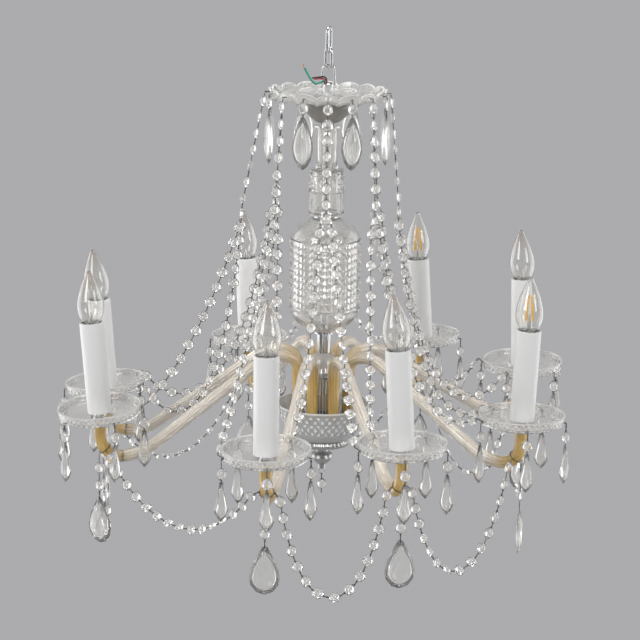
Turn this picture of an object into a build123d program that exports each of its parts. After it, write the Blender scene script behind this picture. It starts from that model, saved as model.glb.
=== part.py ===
from build123d import *
import math
import os

# Eight-light crystal chandelier, in millimetres, +Z up, -Y towards the viewer.
# Levels are heights above the plane of the drip pan rims. The finished pieces are
# lowered by HOOK_LEVEL, so the origin is where the ceiling hook bears in the top link.

HOOK_LEVEL = 464.5

# ---------------------------------------------------------------- hanging links and bail
UPPER_LINK_HEIGHT = 35.0
UPPER_LINK_WIDTH = 17.0
UPPER_LINK_WIRE = 4.5
UPPER_LINK_TURN = -20.0
LOWER_LINK_HEIGHT = 29.0
LOWER_LINK_WIDTH = 13.8
LOWER_LINK_WIRE = 3.6
LOWER_LINK_TURN = 46.0
LINK_PLAY = 0.9
BAIL_WIRE = 2.6
BAIL_FOOT = 9.2
BAIL_TOP_HALF = 7.0
BAIL_PIN_END = 5.6
BAIL_PIVOT_LEVEL = 392.0

# ---------------------------------------------------------------- centre column
ROD_R = 5.0
ROD_BORE_R = 3.6
ROD_TOP = 386.0
ROD_BOTTOM = -88.0
SHAFT_HOLE_R = 5.4
COUPLER_R = 6.8
COUPLER_BORE_R = 5.3
COUPLER_FLOOR = 387.4
COUPLER_BOTTOM = 385.3
COUPLER_TOP = 396.5
CANOPY_R = 76.5
CANOPY_RIM_LEVEL = 390.5
CANOPY_FLOOR = 377.5
WASHERS = {  # bottom level: (thickness, radius)
    341.2: (1.5, 17.5),
    224.3: (1.8, 16.5),
    69.6: (2.0, 13.0),
    7.2: (2.0, 13.5),
}
TUBE_R = 9.2
VASE_R = 47.0
BOWL_R = 62.0
BOWL_RIM_LEVEL = -24.6
PLATE_R = 45.0
PLATE_LEVEL = -56.0
COLLAR_R = 10.2
COLLAR_BORE_R = 8.3
COLLAR_TOP = -40.0
FINIAL_RING_LEVEL = -119.5

# ---------------------------------------------------------------- arms and candles
ARM_COUNT = 8
SOCKET_RADIUS = 36.0
CANDLE_RADIUS = 297.0
# As hung, each arm is turned a few degrees in its collar and its candle sits a little
# high or low. Arms are numbered from the left one of the two in front, to the right.
ARM_SWIVEL = [9.5, -3.6, -10.6, 0.9, -5.7, -1.3, 11.8, -7.5]
ARM_LIFT = [-3.0, 5.0, 10.0, 10.0, 12.0, 1.0, -12.0, -13.0]
ARM_R = 8.0
ARM_BORE_R = 5.9
LINER_R = 5.6
LINER_BORE_R = 3.6
ARM_FOOT_LEVEL = -52.2
ARM_END_LEVEL = -19.6
ARM_SHOULDER_LEVEL = 38.0
ARM_CREST_LEVEL = 46.0
ARM_CREST_REACH = 36.0
ARM_DIP_LEVEL = -69.5
ARM_DIP_REACH = 51.5
ARM_RADII = [20.0, 40.0, 74.0, 29.0]
HOOK_ANGLE = 38.0
CLIP_R = 9.5

PAN_R = 54.5
PAN_HOLES = 5
PAN_HOLE_R = 0.9
PAN_HOLE_DEPTH = 8.5
DROP_CLEARANCE = 13.8
DROP_TURN_CLEARANCE = 18.5
PAN_LEAN = [-0.6, -0.3, 0.0, -0.5, -0.5, -0.5, -5.5, -4.2]
PAN_NOD = [2.3, 0.0, 0.0, 2.5, 0.0, 0.0, 0.0, 3.7]
PAN_FIRST_HOLE = [3.0, 2.0, 3.0, -26.0, 7.8, -14.8, -12.0, 25.5]
CANDLE_LEAN = [-0.3, -3.8, 2.2, -1.9, -4.1, -2.6, -4.3, -4.7]
BULB_LEAN = [1.3, -2.4, -2.4, -2.4, 2.0, 0.0, -2.4, 2.4]
LEAN_LEVEL = -12.0
SLEEVE_R = 15.5
SLEEVE_BORE_R = 13.7
SLEEVE_FOOT = -8.6
SLEEVE_TOPS = [113.0, 113.0, 106.0, 112.0, 106.0, 111.0, 110.0, 110.0]
HOLDER_R = 12.6
HOLDER_BORE_R = 8.0
HOLDER_MOUTH_R = 9.6
HOLDER_DROP = 4.5
NIPPLE_R = 4.6
BULB_R = 17.5
BULB_HEIGHT = 67.0
BULB_CAP_R = 6.8

# ---------------------------------------------------------------- crystals
BEAD_R = 7.4
BEAD_THICK = 6.4
BEAD_TABLE = 0.6
BEAD_PITCH = 20.0
PIN_WIDTH = 1.0
STRAND_BEADS = 7
RIM_HOOK_LEVEL = 384.5
RIM_HOOK_START = 75.3
STRAND_TOP_LEVEL = 383.0
STRAND_TOP_RADIUS = 80.5
# Top and distance from the axis of each three-way stone, from the front one to the right.
LINK_STONE_LEVELS = [245.0, 240.0, 241.0, 239.0, 239.0, 239.0, 235.0, 233.0]
LINK_STONE_RADII = [90.0, 88.0, 93.5, 95.0, 95.0, 95.0, 109.0, 92.5]
LINK_STONE_WIDTH = 17.0
LINK_STONE_HEIGHT = 15.0
LINK_STONE_THICK = 5.0
STRAND_END_OUT = 5.8
STRAND_END_RISE = 6.0
# Where the two lower strands of each three-way stone end: (arm index, azimuth on its pan).
STRAND_ENDS = [((0, 147.0), (1, 290.0)), ((1, 218.0), (2, 291.0)), ((2, 219.0), (3, 334.0)),
               ((3, 262.0), (4, 7.8)), ((4, 295.8), (5, 57.2)), ((5, 345.2), (6, 132.0)),
               ((6, 60.0), (7, 97.5)), ((0, 291.0), (0, 172.0))]
# Length of each of these lower strands; the longer ones hang slack.
STRAND_LENGTHS = [(283.0, 313.6), (281.0, 325.0), (330.0, 352.0), (345.0, 285.0),
                  (285.0, 283.0), (285.0, 370.0), (352.0, 269.0), (342.6, 280.0)]
GARLAND_LENGTH = 322.0
GARLAND_BEADS = 15
GARLAND_OFFSET = 14.5
GARLAND_FLAT_BEADS = 3
PENDANT_PIN_DROP = 1.2
PENDANT_THICK = 9.0
PEAR_BEAD_DROPS = [19.7, 43.7]
PEAR_STONE_DROP = 60.2
ALMOND_BEAD_DROPS = [10.7]
ALMOND_STONE_DROP = 22.2

SPEAR_OUTLINE = [(2.5, 0.0), (6.0, -22.0), (9.2, -36.0), (5.5, -44.0), (0.0, -50.0)]
PEAR_OUTLINE = [(3.0, 0.0), (9.0, -11.0), (15.0, -23.0), (19.0, -38.0), (17.0, -49.0),
                (10.0, -58.0), (0.0, -61.5)]
ALMOND_OUTLINE = [(2.5, 0.0), (8.5, -13.0), (13.0, -27.0), (14.5, -40.0), (11.5, -53.0),
                  (6.0, -62.0), (0.0, -66.0)]
PEAR_FACING = [0.0, 8.0, 82.0, 40.0, 150.0, 165.0, -100.0, -35.0]

# ---------------------------------------------------------------- supply wires
EARTH_WIRE = 2.6
CORE_WIRE = 2.0
EARTH_ROUTE = [(-3.6, -1.2, 387.4), (-3.6, -1.2, 399.2), (-8.2, -5.6, 399.2), (-15.0, -9.4, 395.6),
               (-20.2, -8.6, 399.0), (-25.4, -7.0, 406.4), (-30.8, -5.4, 416.4)]
NEUTRAL_ROUTE = [(-1.2, -0.2, 387.4), (-1.2, -0.2, 399.2), (-4.2, -4.4, 405.6), (-11.2, -6.0, 404.8),
                 (-20.6, -4.4, 403.2)]
LIVE_ROUTE = [(-0.8, -3.4, 387.4), (-0.8, -3.4, 397.4), (-5.2, -7.4, 403.4), (-11.8, -8.6, 403.2),
              (-18.0, -7.4, 402.4)]


def direction(azimuth):
    """Level unit vector; azimuth 0 points at the viewer and grows to the right."""
    angle = math.radians(azimuth)
    return Vector(math.sin(angle), -math.cos(angle), 0)


def socket_azimuth(index):
    return (index - 0.5) * 360.0 / ARM_COUNT


def candle_azimuth(index):
    return socket_azimuth(index) + ARM_SWIVEL[index]


def candle_foot(index):
    """Centre of an arm's upturned end, on the level of the pan rims."""
    return direction(candle_azimuth(index)) * CANDLE_RADIUS


def arm_plane(index):
    """Plane of an arm: x runs outwards from its collar to its candle, y runs up."""
    socket = direction(socket_azimuth(index)) * SOCKET_RADIUS
    outwards = candle_foot(index) - socket
    return Plane(socket, x_dir=outwards.normalized(), z_dir=outwards.cross(Vector(0, 0, 1)))


def arm_side(index):
    """Level unit vector square to an arm, towards the next arm."""
    outwards = arm_plane(index).x_dir
    return Vector(-outwards.Y, outwards.X, 0)


def arm_reach(index):
    socket = direction(socket_azimuth(index)) * SOCKET_RADIUS
    return (candle_foot(index) - socket).length


def leaning(index, lean, nod=0.0):
    """Place of a piece made at the origin, leaned to the right and nodding forwards at its candle's foot."""
    foot = candle_foot(index)
    pivot = Pos(foot.X, foot.Y, LEAN_LEVEL + ARM_LIFT[index])
    return pivot * Rot(nod, lean, 0) * Pos(0, 0, -LEAN_LEVEL)


def pan_place(index):
    return leaning(index, PAN_LEAN[index], PAN_NOD[index])


def save(name, *solids):
    """Writes one node, lowered to the hook's origin."""
    moved = [Pos(0, 0, -HOOK_LEVEL) * solid for solid in solids]
    shape = moved[0] if len(moved) == 1 else Compound(children=moved)
    export_step(shape, f"parts/{name}.step", write_pcurves=False)


def turned(profile):
    """Solid of revolution about Z from (radius, level) points."""
    outline = Wire.make_polygon([(r, 0, z) for r, z in profile])
    return revolve(Face(outline), axis=Axis.Z).solid()


def polyhedron(points, faces):
    sheets = [Face(Wire.make_polygon([points[i] for i in face])) for face in faces]
    return Solid(Shell(sheets))


def stone(outline, thick, table):
    """Flat-faced cut stone: a girdle outline in XZ with a smaller table on each side."""
    count = len(outline)
    middle_x = sum(x for x, z in outline) / count
    middle_z = sum(z for x, z in outline) / count
    girdle = [(x, 0, z) for x, z in outline]
    small = [(middle_x + (x - middle_x) * table, middle_z + (z - middle_z) * table) for x, z in outline]
    front = [(x, -thick / 2, z) for x, z in small]
    back = [(x, thick / 2, z) for x, z in small]
    faces = [list(range(count, 2 * count)), list(range(2 * count, 3 * count))]
    for i in range(count):
        j = (i + 1) % count
        faces.append([i, j, count + j, count + i])
        faces.append([i, j, 2 * count + j, 2 * count + i])
    return polyhedron(girdle + front + back, faces)


def mirrored_outline(half):
    """Closed outline from its right half, listed from the top down."""
    left = [(-x, z) for x, z in reversed(half) if x > 0]
    return half + left


def octagon(radius):
    angles = [math.radians(22.5 + 45 * i) for i in range(8)]
    return [(radius * math.cos(a), radius * math.sin(a)) for a in angles]


def bead():
    return stone(octagon(BEAD_R), BEAD_THICK, BEAD_TABLE)


def pin(start, end):
    """Square wire between two points."""
    run = end - start
    side = Vector(0, 0, 1).cross(run)
    if side.length < 1e-6:
        side = Vector(1, 0, 0)
    plane = Plane((start + end) * 0.5, x_dir=side, z_dir=run)
    return plane.location * Box(PIN_WIDTH, PIN_WIDTH, run.length)


def aligned(solid, point, along, facing):
    """Places a stone with its height along a direction and its table towards facing."""
    side = along.cross(facing)
    plane = Plane(point, x_dir=side, z_dir=along)
    return plane.location * solid


def join(pieces):
    return pieces[0].fuse(*pieces[1:]).solid()


def bead_string(centres, start, end, facings):
    """One string: beads at the centres, each with its own facing, joined by wire from start to end."""
    stops = [start] + centres + [end]
    pieces = [pin(a, b) for a, b in zip(stops, stops[1:])]
    template = bead()
    for i, (centre, facing) in enumerate(zip(centres, facings)):
        along = (stops[i] - stops[i + 2]).normalized()
        pieces.append(aligned(template, centre, along, facing))
    return join(pieces)


# ================================================================ links, bail, coupler
def chain_link(height, width, wire):
    """Stadium link of round wire in the XZ plane, centred on the origin."""
    bend = (width - wire) / 2
    rail = (height - wire) / 2 - bend
    path = Polyline((bend, 0, -rail), (bend, 0, rail)) + ThreePointArc(
        (bend, 0, rail), (0, 0, rail + bend), (-bend, 0, rail))
    path += Polyline((-bend, 0, rail), (-bend, 0, -rail))
    path += ThreePointArc((-bend, 0, -rail), (0, 0, -rail - bend), (bend, 0, -rail))
    section = Plane((bend, 0, -rail), z_dir=(0, 0, 1)) * Circle(wire / 2)
    return sweep(section, path=Wire(path.edges())).solid()


upper_link_middle = HOOK_LEVEL + UPPER_LINK_WIRE - UPPER_LINK_HEIGHT / 2
upper_link_seat = upper_link_middle - UPPER_LINK_HEIGHT / 2 + UPPER_LINK_WIRE
lower_link_top = upper_link_seat + LINK_PLAY + LOWER_LINK_WIRE
lower_link_middle = lower_link_top - LOWER_LINK_HEIGHT / 2
lower_link_seat = lower_link_middle - LOWER_LINK_HEIGHT / 2 + LOWER_LINK_WIRE
bail_top_level = lower_link_seat + LINK_PLAY + BAIL_WIRE / 2


def make_links():
    upper = chain_link(UPPER_LINK_HEIGHT, UPPER_LINK_WIDTH, UPPER_LINK_WIRE)
    save("upper_chain_link", Pos(0, 0, upper_link_middle) * Rot(0, 0, 90 + UPPER_LINK_TURN) * upper)
    lower = chain_link(LOWER_LINK_HEIGHT, LOWER_LINK_WIDTH, LOWER_LINK_WIRE)
    save("lower_chain_link", Pos(0, 0, lower_link_middle) * Rot(0, 0, 90 + LOWER_LINK_TURN) * lower)


def make_bail():
    corners = [(-BAIL_PIN_END, 0, BAIL_PIVOT_LEVEL), (-BAIL_FOOT, 0, BAIL_PIVOT_LEVEL),
               (-BAIL_TOP_HALF, 0, bail_top_level), (BAIL_TOP_HALF, 0, bail_top_level),
               (BAIL_FOOT, 0, BAIL_PIVOT_LEVEL), (BAIL_PIN_END, 0, BAIL_PIVOT_LEVEL)]
    path = FilletPolyline(*corners, radius=[1.2, 5.5, 5.5, 1.2])
    section = Plane(corners[0], z_dir=(-1, 0, 0)) * Circle(BAIL_WIRE / 2)
    save("hanging_bail", sweep(section, path=path).solid())


def make_coupler():
    """Open cup over the top of the rod; the supply wires rise from its floor."""
    body = turned([(0, COUPLER_FLOOR), (COUPLER_BORE_R, COUPLER_FLOOR), (COUPLER_BORE_R, COUPLER_TOP),
                   (COUPLER_R - 0.6, COUPLER_TOP), (COUPLER_R, COUPLER_TOP - 0.6),
                   (COUPLER_R, COUPLER_BOTTOM), (ROD_R + 0.1, COUPLER_BOTTOM), (ROD_R + 0.1, ROD_TOP + 0.2),
                   (0, ROD_TOP + 0.2)])
    for side in (-1, 1):
        hole = Pos(side * COUPLER_R, 0, BAIL_PIVOT_LEVEL) * Rot(0, 90, 0)
        body -= hole * Cylinder(BAIL_WIRE / 2 + 0.25, 5.4)
    save("top_coupler", body.solid())


# ================================================================ centre column
def make_column():
    save("centre_rod", turned([(ROD_BORE_R, ROD_BOTTOM), (ROD_R, ROD_BOTTOM), (ROD_R, ROD_TOP),
                               (ROD_BORE_R, ROD_TOP)]))
    floor = CANOPY_FLOOR
    save("canopy_dish", turned([
        (SHAFT_HOLE_R, floor), (66, floor), (74, floor + 3.5), (CANOPY_R, CANOPY_RIM_LEVEL),
        (CANOPY_R - 3, CANOPY_RIM_LEVEL), (71, floor + 5.5), (63, floor + 3), (8.2, floor + 3),
        (8.2, COUPLER_BOTTOM - 0.2), (SHAFT_HOLE_R, COUPLER_BOTTOM - 0.2)]))
    save("canopy_bell", turned([
        (SHAFT_HOLE_R, 343), (8, 343), (8, 347), (15.5, 347.5), (25, 355), (33, 366), (36.5, 377.2),
        (33.3, 377.2), (30.5, 368), (23, 358), (14.5, 351), (SHAFT_HOLE_R, 351)]))
    rings = [turned([(SHAFT_HOLE_R, low), (radius, low), (radius, low + thick),
                     (SHAFT_HOLE_R, low + thick)]) for low, (thick, radius) in WASHERS.items()]
    save("column_washers", *rings)
    save("stem_tube", turned([
        (SHAFT_HOLE_R, 287.7), (14.4, 287.7), (14.4, 291), (13.4, 296), (13.4, 331), (14.4, 337),
        (14.4, 340.9), (SHAFT_HOLE_R, 340.9), (SHAFT_HOLE_R, 337), (10.4, 337), (10.4, 291.5),
        (SHAFT_HOLE_R, 291.5)]))
    save("cut_cup", turned([
        (SHAFT_HOLE_R, 226.4), (21.6, 226.4), (23.4, 229), (23.4, 256), (24.2, 258), (22.8, 285.2),
        (20.5, 287.4), (SHAFT_HOLE_R, 287.4), (SHAFT_HOLE_R, 283.2), (18.4, 283.2), (18.8, 232),
        (SHAFT_HOLE_R, 231)]))
    save("vase", turned([
        (SHAFT_HOLE_R, 224), (17, 224), (25, 219.5), (33, 214), (39.5, 208), (43, 202), (43.8, 197),
        (VASE_R, 195), (VASE_R, 106.5), (45.5, 102.6), (41, 102.6), (41, 191), (39.6, 199), (35, 206),
        (28, 212), (16.5, 218.5), (SHAFT_HOLE_R, 218.5)]))
    save("vase_foot", turned([
        (SHAFT_HOLE_R, 71.9), (13, 71.9), (24, 76.5), (36, 85.5), (43, 95), (44.6, 102.3), (41, 102.3),
        (39.5, 96), (33, 88.5), (22.5, 80.5), (12.5, 76), (SHAFT_HOLE_R, 76)]))
    tubes = [turned([(SHAFT_HOLE_R, low), (TUBE_R, low), (TUBE_R, high), (SHAFT_HOLE_R, high)])
             for low, high in ((43.8, 69.3), (PLATE_LEVEL + 3.8, 7.0))]
    save("column_tubes", *tubes)
    save("lower_knob", turned([
        (SHAFT_HOLE_R, 9.5), (9, 9.5), (9, 14), (14.5, 18), (18.4, 24), (19.2, 29), (18.4, 34), (14.5, 40),
        (9.5, 43.5), (SHAFT_HOLE_R, 43.5)]))


def make_receiver():
    save("receiver_bowl", turned([
        (SHAFT_HOLE_R, -70), (40, -70), (47.5, -62), (54, -49), (59, -36), (BOWL_R, BOWL_RIM_LEVEL),
        (BOWL_R - 3.2, BOWL_RIM_LEVEL), (55.6, -36), (50.4, -48), (44.3, -60), (38.5, -66.4),
        (SHAFT_HOLE_R, -66.4)]))
    plate = turned([(SHAFT_HOLE_R, -66.1), (9, -66.1), (9, PLATE_LEVEL), (PLATE_R, PLATE_LEVEL),
                    (PLATE_R, PLATE_LEVEL + 3.5), (SHAFT_HOLE_R, PLATE_LEVEL + 3.5)])
    base = PLATE_LEVEL + 3.5
    collar = Cylinder(COLLAR_R, COLLAR_TOP - base, align=(Align.CENTER, Align.CENTER, Align.MIN))
    collar -= Cylinder(COLLAR_BORE_R, 40)
    for i in range(ARM_COUNT):
        centre = direction(socket_azimuth(i)) * SOCKET_RADIUS
        plate += Pos(centre.X, centre.Y, base) * collar
    save("arm_plate", plate.solid())
    save("base_plate", turned([
        (SHAFT_HOLE_R, -82), (33, -82), (38.5, -79), (38.5, -74.5), (36.5, -70.3), (SHAFT_HOLE_R, -70.3)]))


def make_finial():
    body = turned([
        (ROD_R + 0.1, -82.3), (12.4, -82.3), (12.4, -84.8), (8.8, -86.4), (8.8, -91), (13.6, -95),
        (14.4, -99), (13.2, -103), (8, -107.5), (4.8, -110), (4.8, -114.5), (0, -116.5), (0, -88.4),
        (ROD_R + 0.1, -88.4)])
    eye = Pos(0, 0, FINIAL_RING_LEVEL) * Rot(90, 0, 0) * Torus(3.6, 0.7)
    save("finial", (body + eye).solid())
    top = Vector(0, 0, FINIAL_RING_LEVEL - 4.6)
    centre = Vector(0, 0, top.Z - 13.5)
    low = Vector(0, 0, centre.Z - 13.5)
    save("finial_bead", join([pin(top, low), aligned(bead(), centre, Vector(0, 0, 1), direction(20))]))


# ================================================================ arms
def arm_path(index):
    """Up from the collar, over the crest, down the slope, round the dip and up to the pan."""
    reach = arm_reach(index)
    dip = ARM_DIP_LEVEL + ARM_LIFT[index]
    corners = [(0, ARM_FOOT_LEVEL), (0, ARM_SHOULDER_LEVEL), (ARM_CREST_REACH, ARM_CREST_LEVEL),
               (reach - ARM_DIP_REACH, dip), (reach, dip), (reach, ARM_END_LEVEL + ARM_LIFT[index])]
    points = [arm_plane(index).from_local_coords((x, z, 0)) for x, z in corners]
    return FilletPolyline(*points, radius=ARM_RADII)


def arm_tube(index, outer, inner):
    section = Circle(outer) - Circle(inner)
    foot = direction(socket_azimuth(index)) * SOCKET_RADIUS
    start = Plane((foot.X, foot.Y, ARM_FOOT_LEVEL), z_dir=(0, 0, 1))
    return sweep(start * section, path=arm_path(index)).solid()


def outer_bend(index, radius):
    """Point on the outside bend of an arm, radius away from the centre of the bend."""
    angle = math.radians(HOOK_ANGLE)
    x = arm_reach(index) - ARM_RADII[-1] + radius * math.cos(angle)
    z = ARM_DIP_LEVEL + ARM_LIFT[index] + ARM_RADII[-1] - radius * math.sin(angle)
    return arm_plane(index).from_local_coords(Vector(x, z, 0))


def hook_place(index):
    """Point under the end of an arm where its pendant hangs."""
    return outer_bend(index, ARM_RADII[-1] + ARM_R + 2.0)


def arm_clip(index):
    """Wire ring round the arm's outside bend, which carries the crystals."""
    angle = math.radians(HOOK_ANGLE)
    tangent = arm_plane(index).x_dir * math.sin(angle) + Vector(0, 0, 1) * math.cos(angle)
    ring = Cylinder(CLIP_R, 1.6) - Cylinder(ARM_R + 0.35, 4)
    place = Plane(outer_bend(index, ARM_RADII[-1]), z_dir=tangent.normalized())
    return (place.location * ring).solid()


def make_arms():
    for i in range(ARM_COUNT):
        save(f"arm_{i + 1}", arm_tube(i, ARM_R, ARM_BORE_R))
    save("arm_liners", *[arm_tube(i, LINER_R, LINER_BORE_R) for i in range(ARM_COUNT)])


# ================================================================ candles
def drip_pan():
    pan = turned([
        (7.6, -15.6), (30, -15.2), (47, -14), (52.6, -11.5), (54, -6), (PAN_R, 0), (PAN_R - 3, 0), (50.6, -6),
        (49, -9), (44, -10.8), (7.6, -11.8)])
    for j in range(PAN_HOLES):
        hole = Cylinder(PAN_HOLE_R, 12)
        pan -= Rot(0, 0, j * 360 / PAN_HOLES) * Pos(0, -PAN_R + 2, -PAN_HOLE_DEPTH) * Rot(90, 0, 0) * hole
    return pan.solid()


def pan_edge(index, azimuth):
    """Outside of a pan's wall at the level of its holes, where a drop or a strand hooks in."""
    outside = direction(azimuth) * (PAN_R + 0.6)
    point = pan_place(index) * Pos(outside.X, outside.Y, -PAN_HOLE_DEPTH)
    return Vector(*point.position), direction(azimuth)


def make_candles():
    pan = drip_pan()
    save("bobeches", *[pan_place(i) * Rot(0, 0, PAN_FIRST_HOLE[i]) * pan for i in range(ARM_COUNT)])
    save("candle_sleeves", *[leaning(i, CANDLE_LEAN[i]) * sleeve(SLEEVE_TOPS[i]) for i in range(ARM_COUNT)])
    save("lampholders", *[leaning(i, CANDLE_LEAN[i]) * lampholder(SLEEVE_TOPS[i]) for i in range(ARM_COUNT)])
    for i in range(ARM_COUNT):
        top = SLEEVE_TOPS[i]
        tilt = Pos(0, 0, top) * Rot(0, BULB_LEAN[i], 0) * Pos(0, 0, -top)
        save(f"bulb_{i + 1}", leaning(i, CANDLE_LEAN[i]) * tilt * bulb(top))


def sleeve(top):
    return turned([(SLEEVE_BORE_R, SLEEVE_FOOT), (SLEEVE_R, SLEEVE_FOOT), (SLEEVE_R, top - 1.2),
                   (SLEEVE_R - 1, top), (SLEEVE_BORE_R, top)])


def lampholder(top):
    """Threaded nipple from the arm up through the pan, and the cup that takes the bulb."""
    rim = top - HOLDER_DROP
    floor = top - 29
    return turned([(3.4, -18), (NIPPLE_R, -18), (NIPPLE_R, floor - 6), (HOLDER_R, floor - 4), (HOLDER_R, rim),
                   (HOLDER_MOUTH_R, rim), (HOLDER_MOUTH_R, rim - 5), (HOLDER_BORE_R, rim - 6),
                   (HOLDER_BORE_R, floor), (3.4, floor)])


def bulb(top):
    """Candle bulb: screw cap, neck and pointed glass."""
    return turned([
        (0, top - 28.4), (4, top - 28.4), (BULB_CAP_R, top - 25), (BULB_CAP_R, top - 7), (8.4, top - 5),
        (11.4, top + 1), (14.6, top + 7), (16.8, top + 14), (BULB_R, top + 21), (16.9, top + 28),
        (15.2, top + 35), (12.4, top + 44), (9, top + 52), (5.8, top + 59), (3.6, top + 63.5),
        (2, top + BULB_HEIGHT - 0.4), (0, top + BULB_HEIGHT)])


# ================================================================ crystals
def make_drops():
    """Bead and spear under every hole of every pan."""
    spear = stone(mirrored_outline(SPEAR_OUTLINE), 8.0, 0.5)
    up = Vector(0, 0, 1)
    drops = []
    for i in range(ARM_COUNT):
        for j in range(PAN_HOLES):
            hole, outwards = pan_edge(i, PAN_FIRST_HOLE[i] + j * 360 / PAN_HOLES)
            hook = hole + outwards * 1.0
            facing = direction(37 * math.sin(3 * i + 2 * j))
            shift = Vector(0, 0, 0)
            offset = (hook - candle_foot(i)).dot(arm_side(i))
            if behind_bend(i, hook) and abs(offset) < DROP_TURN_CLEARANCE:
                facing = arm_side(i)
                shift = arm_side(i) * (math.copysign(max(abs(offset), DROP_CLEARANCE), offset) - offset)
            top = hook + shift - up * 9
            centre = hook + shift - up * 18.5
            tip = centre - up * 10
            drops.append(join([
                pin(hole - outwards * 4, hook + outwards * PIN_WIDTH / 2), pin(hook, top),
                pin(top + up * 0.5, tip - up * 4), aligned(bead(), centre, up, facing),
                aligned(spear, tip, up, facing)]))
    save("bobeche_drops", *drops)


def behind_bend(index, hook):
    """Whether a drop hangs on the side of its pan where the arm comes up."""
    return (hook - candle_foot(index)).dot(arm_plane(index).x_dir) < 0


def hanging_string(hook, facing, bead_drops, stone_drop, outline):
    """Beads and a large stone below a hook point, as one solid."""
    up = Vector(0, 0, 1)
    tip = hook - up * stone_drop
    large = stone(mirrored_outline(outline), PENDANT_THICK, 0.55)
    pieces = [pin(hook - up * PENDANT_PIN_DROP, tip - up * 5), aligned(large, tip, up, facing)]
    pieces += [aligned(bead(), hook - up * drop, up, facing) for drop in bead_drops]
    return join(pieces)


def make_pendants():
    for i in range(ARM_COUNT):
        pear = hanging_string(
            hook_place(i), direction(PEAR_FACING[i]), PEAR_BEAD_DROPS, PEAR_STONE_DROP, PEAR_OUTLINE)
        save(f"pear_pendant_{i + 1}", pear)
        azimuth = (i + 0.5) * 360 / ARM_COUNT
        hook = direction(azimuth) * STRAND_TOP_RADIUS + Vector(0, 0, RIM_HOOK_LEVEL)
        almond = hanging_string(
            hook, direction(azimuth), ALMOND_BEAD_DROPS, ALMOND_STONE_DROP, ALMOND_OUTLINE)
        save(f"canopy_pendant_{i + 1}", almond)


def rim_hooks():
    """Short wires out of the canopy rim, one above each strand and each almond."""
    hooks = []
    for i in range(2 * ARM_COUNT):
        outwards = direction(i * 180 / ARM_COUNT)
        lift = Vector(0, 0, RIM_HOOK_LEVEL)
        hooks.append(pin(outwards * RIM_HOOK_START + lift, outwards * (STRAND_TOP_RADIUS + 0.8) + lift))
    return hooks


def upper_centres(start, end, count):
    """Bead centres evenly spaced on a line that bows out by a millimetre between two points."""
    centres = []
    for i in range(count):
        t = (i + 0.5) / count
        centres.append(start + (end - start) * t + Vector(0, 0, 4 * t * (1 - t)))
    return centres


def link_stone_place(index):
    outwards = direction(index * 360 / ARM_COUNT)
    return outwards * LINK_STONE_RADII[index] + Vector(0, 0, LINK_STONE_LEVELS[index]), outwards


def upper_strands():
    """From the canopy, a single string of beads down to each three-way stone."""
    strings = []
    half = LINK_STONE_WIDTH / 2
    outline = [(2.5, 0), (half, -LINK_STONE_HEIGHT), (-half, -LINK_STONE_HEIGHT), (-2.5, 0)]
    triangle = stone(outline, LINK_STONE_THICK, 0.7)
    for i in range(ARM_COUNT):
        place, outwards = link_stone_place(i)
        start = outwards * STRAND_TOP_RADIUS + Vector(0, 0, STRAND_TOP_LEVEL)
        centres = upper_centres(start, place, STRAND_BEADS)
        string = bead_string(centres, start, place - Vector(0, 0, 3), [outwards] * STRAND_BEADS)
        strings.append(join([string, aligned(triangle, place, Vector(0, 0, 1), outwards)]))
    return strings


def lower_strands():
    """Two strings from each three-way stone to the pans on its left and right."""
    strings = []
    for i in range(ARM_COUNT):
        place, outwards = link_stone_place(i)
        sideways = outwards.rotate(Axis.Z, 90)
        for side, (arm, azimuth), length in zip((-1, 1), STRAND_ENDS[i], STRAND_LENGTHS[i]):
            start = place + sideways * side * (LINK_STONE_WIDTH / 2 - 1.5)
            start -= Vector(0, 0, LINK_STONE_HEIGHT + 0.4)
            end, hole_out = pan_edge(arm, azimuth)
            end += hole_out * STRAND_END_OUT + Vector(0, 0, STRAND_END_RISE)
            count = round(length / BEAD_PITCH)
            centres = catenary_centres(start, end, length, count)
            facing = direction(30 * math.sin(3 * i + side))
            taut = length < 1.02 * (end - start).length
            last = hole_out if taut else facing
            strings.append(bead_string(centres, start, end, [facing] * (count - 1) + [last]))
    return strings


def catenary_scale(half_span, half_length):
    """Solves half_length = a sinh(half_span / a) for a by halving the interval."""
    low = half_span / 20
    high = half_span * 20
    for _ in range(60):
        middle = (low + high) / 2
        if middle * math.sinh(half_span / middle) > half_length:
            low = middle
        else:
            high = middle
    return (low + high) / 2


def catenary_centres(start, end, length, count):
    """Evenly spaced points of a chain of one length hung between two points."""
    chord = end - start
    level = Vector(chord.X, chord.Y, 0)
    span = level.length
    scale = catenary_scale(span / 2, math.sqrt(length ** 2 - chord.Z ** 2) / 2)
    lowest = span / 2 - scale * math.atanh(chord.Z / length)
    first_arc = -scale * math.sinh(lowest / scale)
    centres = []
    for i in range(count):
        arc = first_arc + (i + 0.5) / count * length
        across = scale * math.asinh(arc / scale)
        drop = scale * math.cosh(lowest / scale) - scale * math.cosh(across / scale)
        centres.append(start + level * ((lowest + across) / span) - Vector(0, 0, drop))
    return centres


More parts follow.
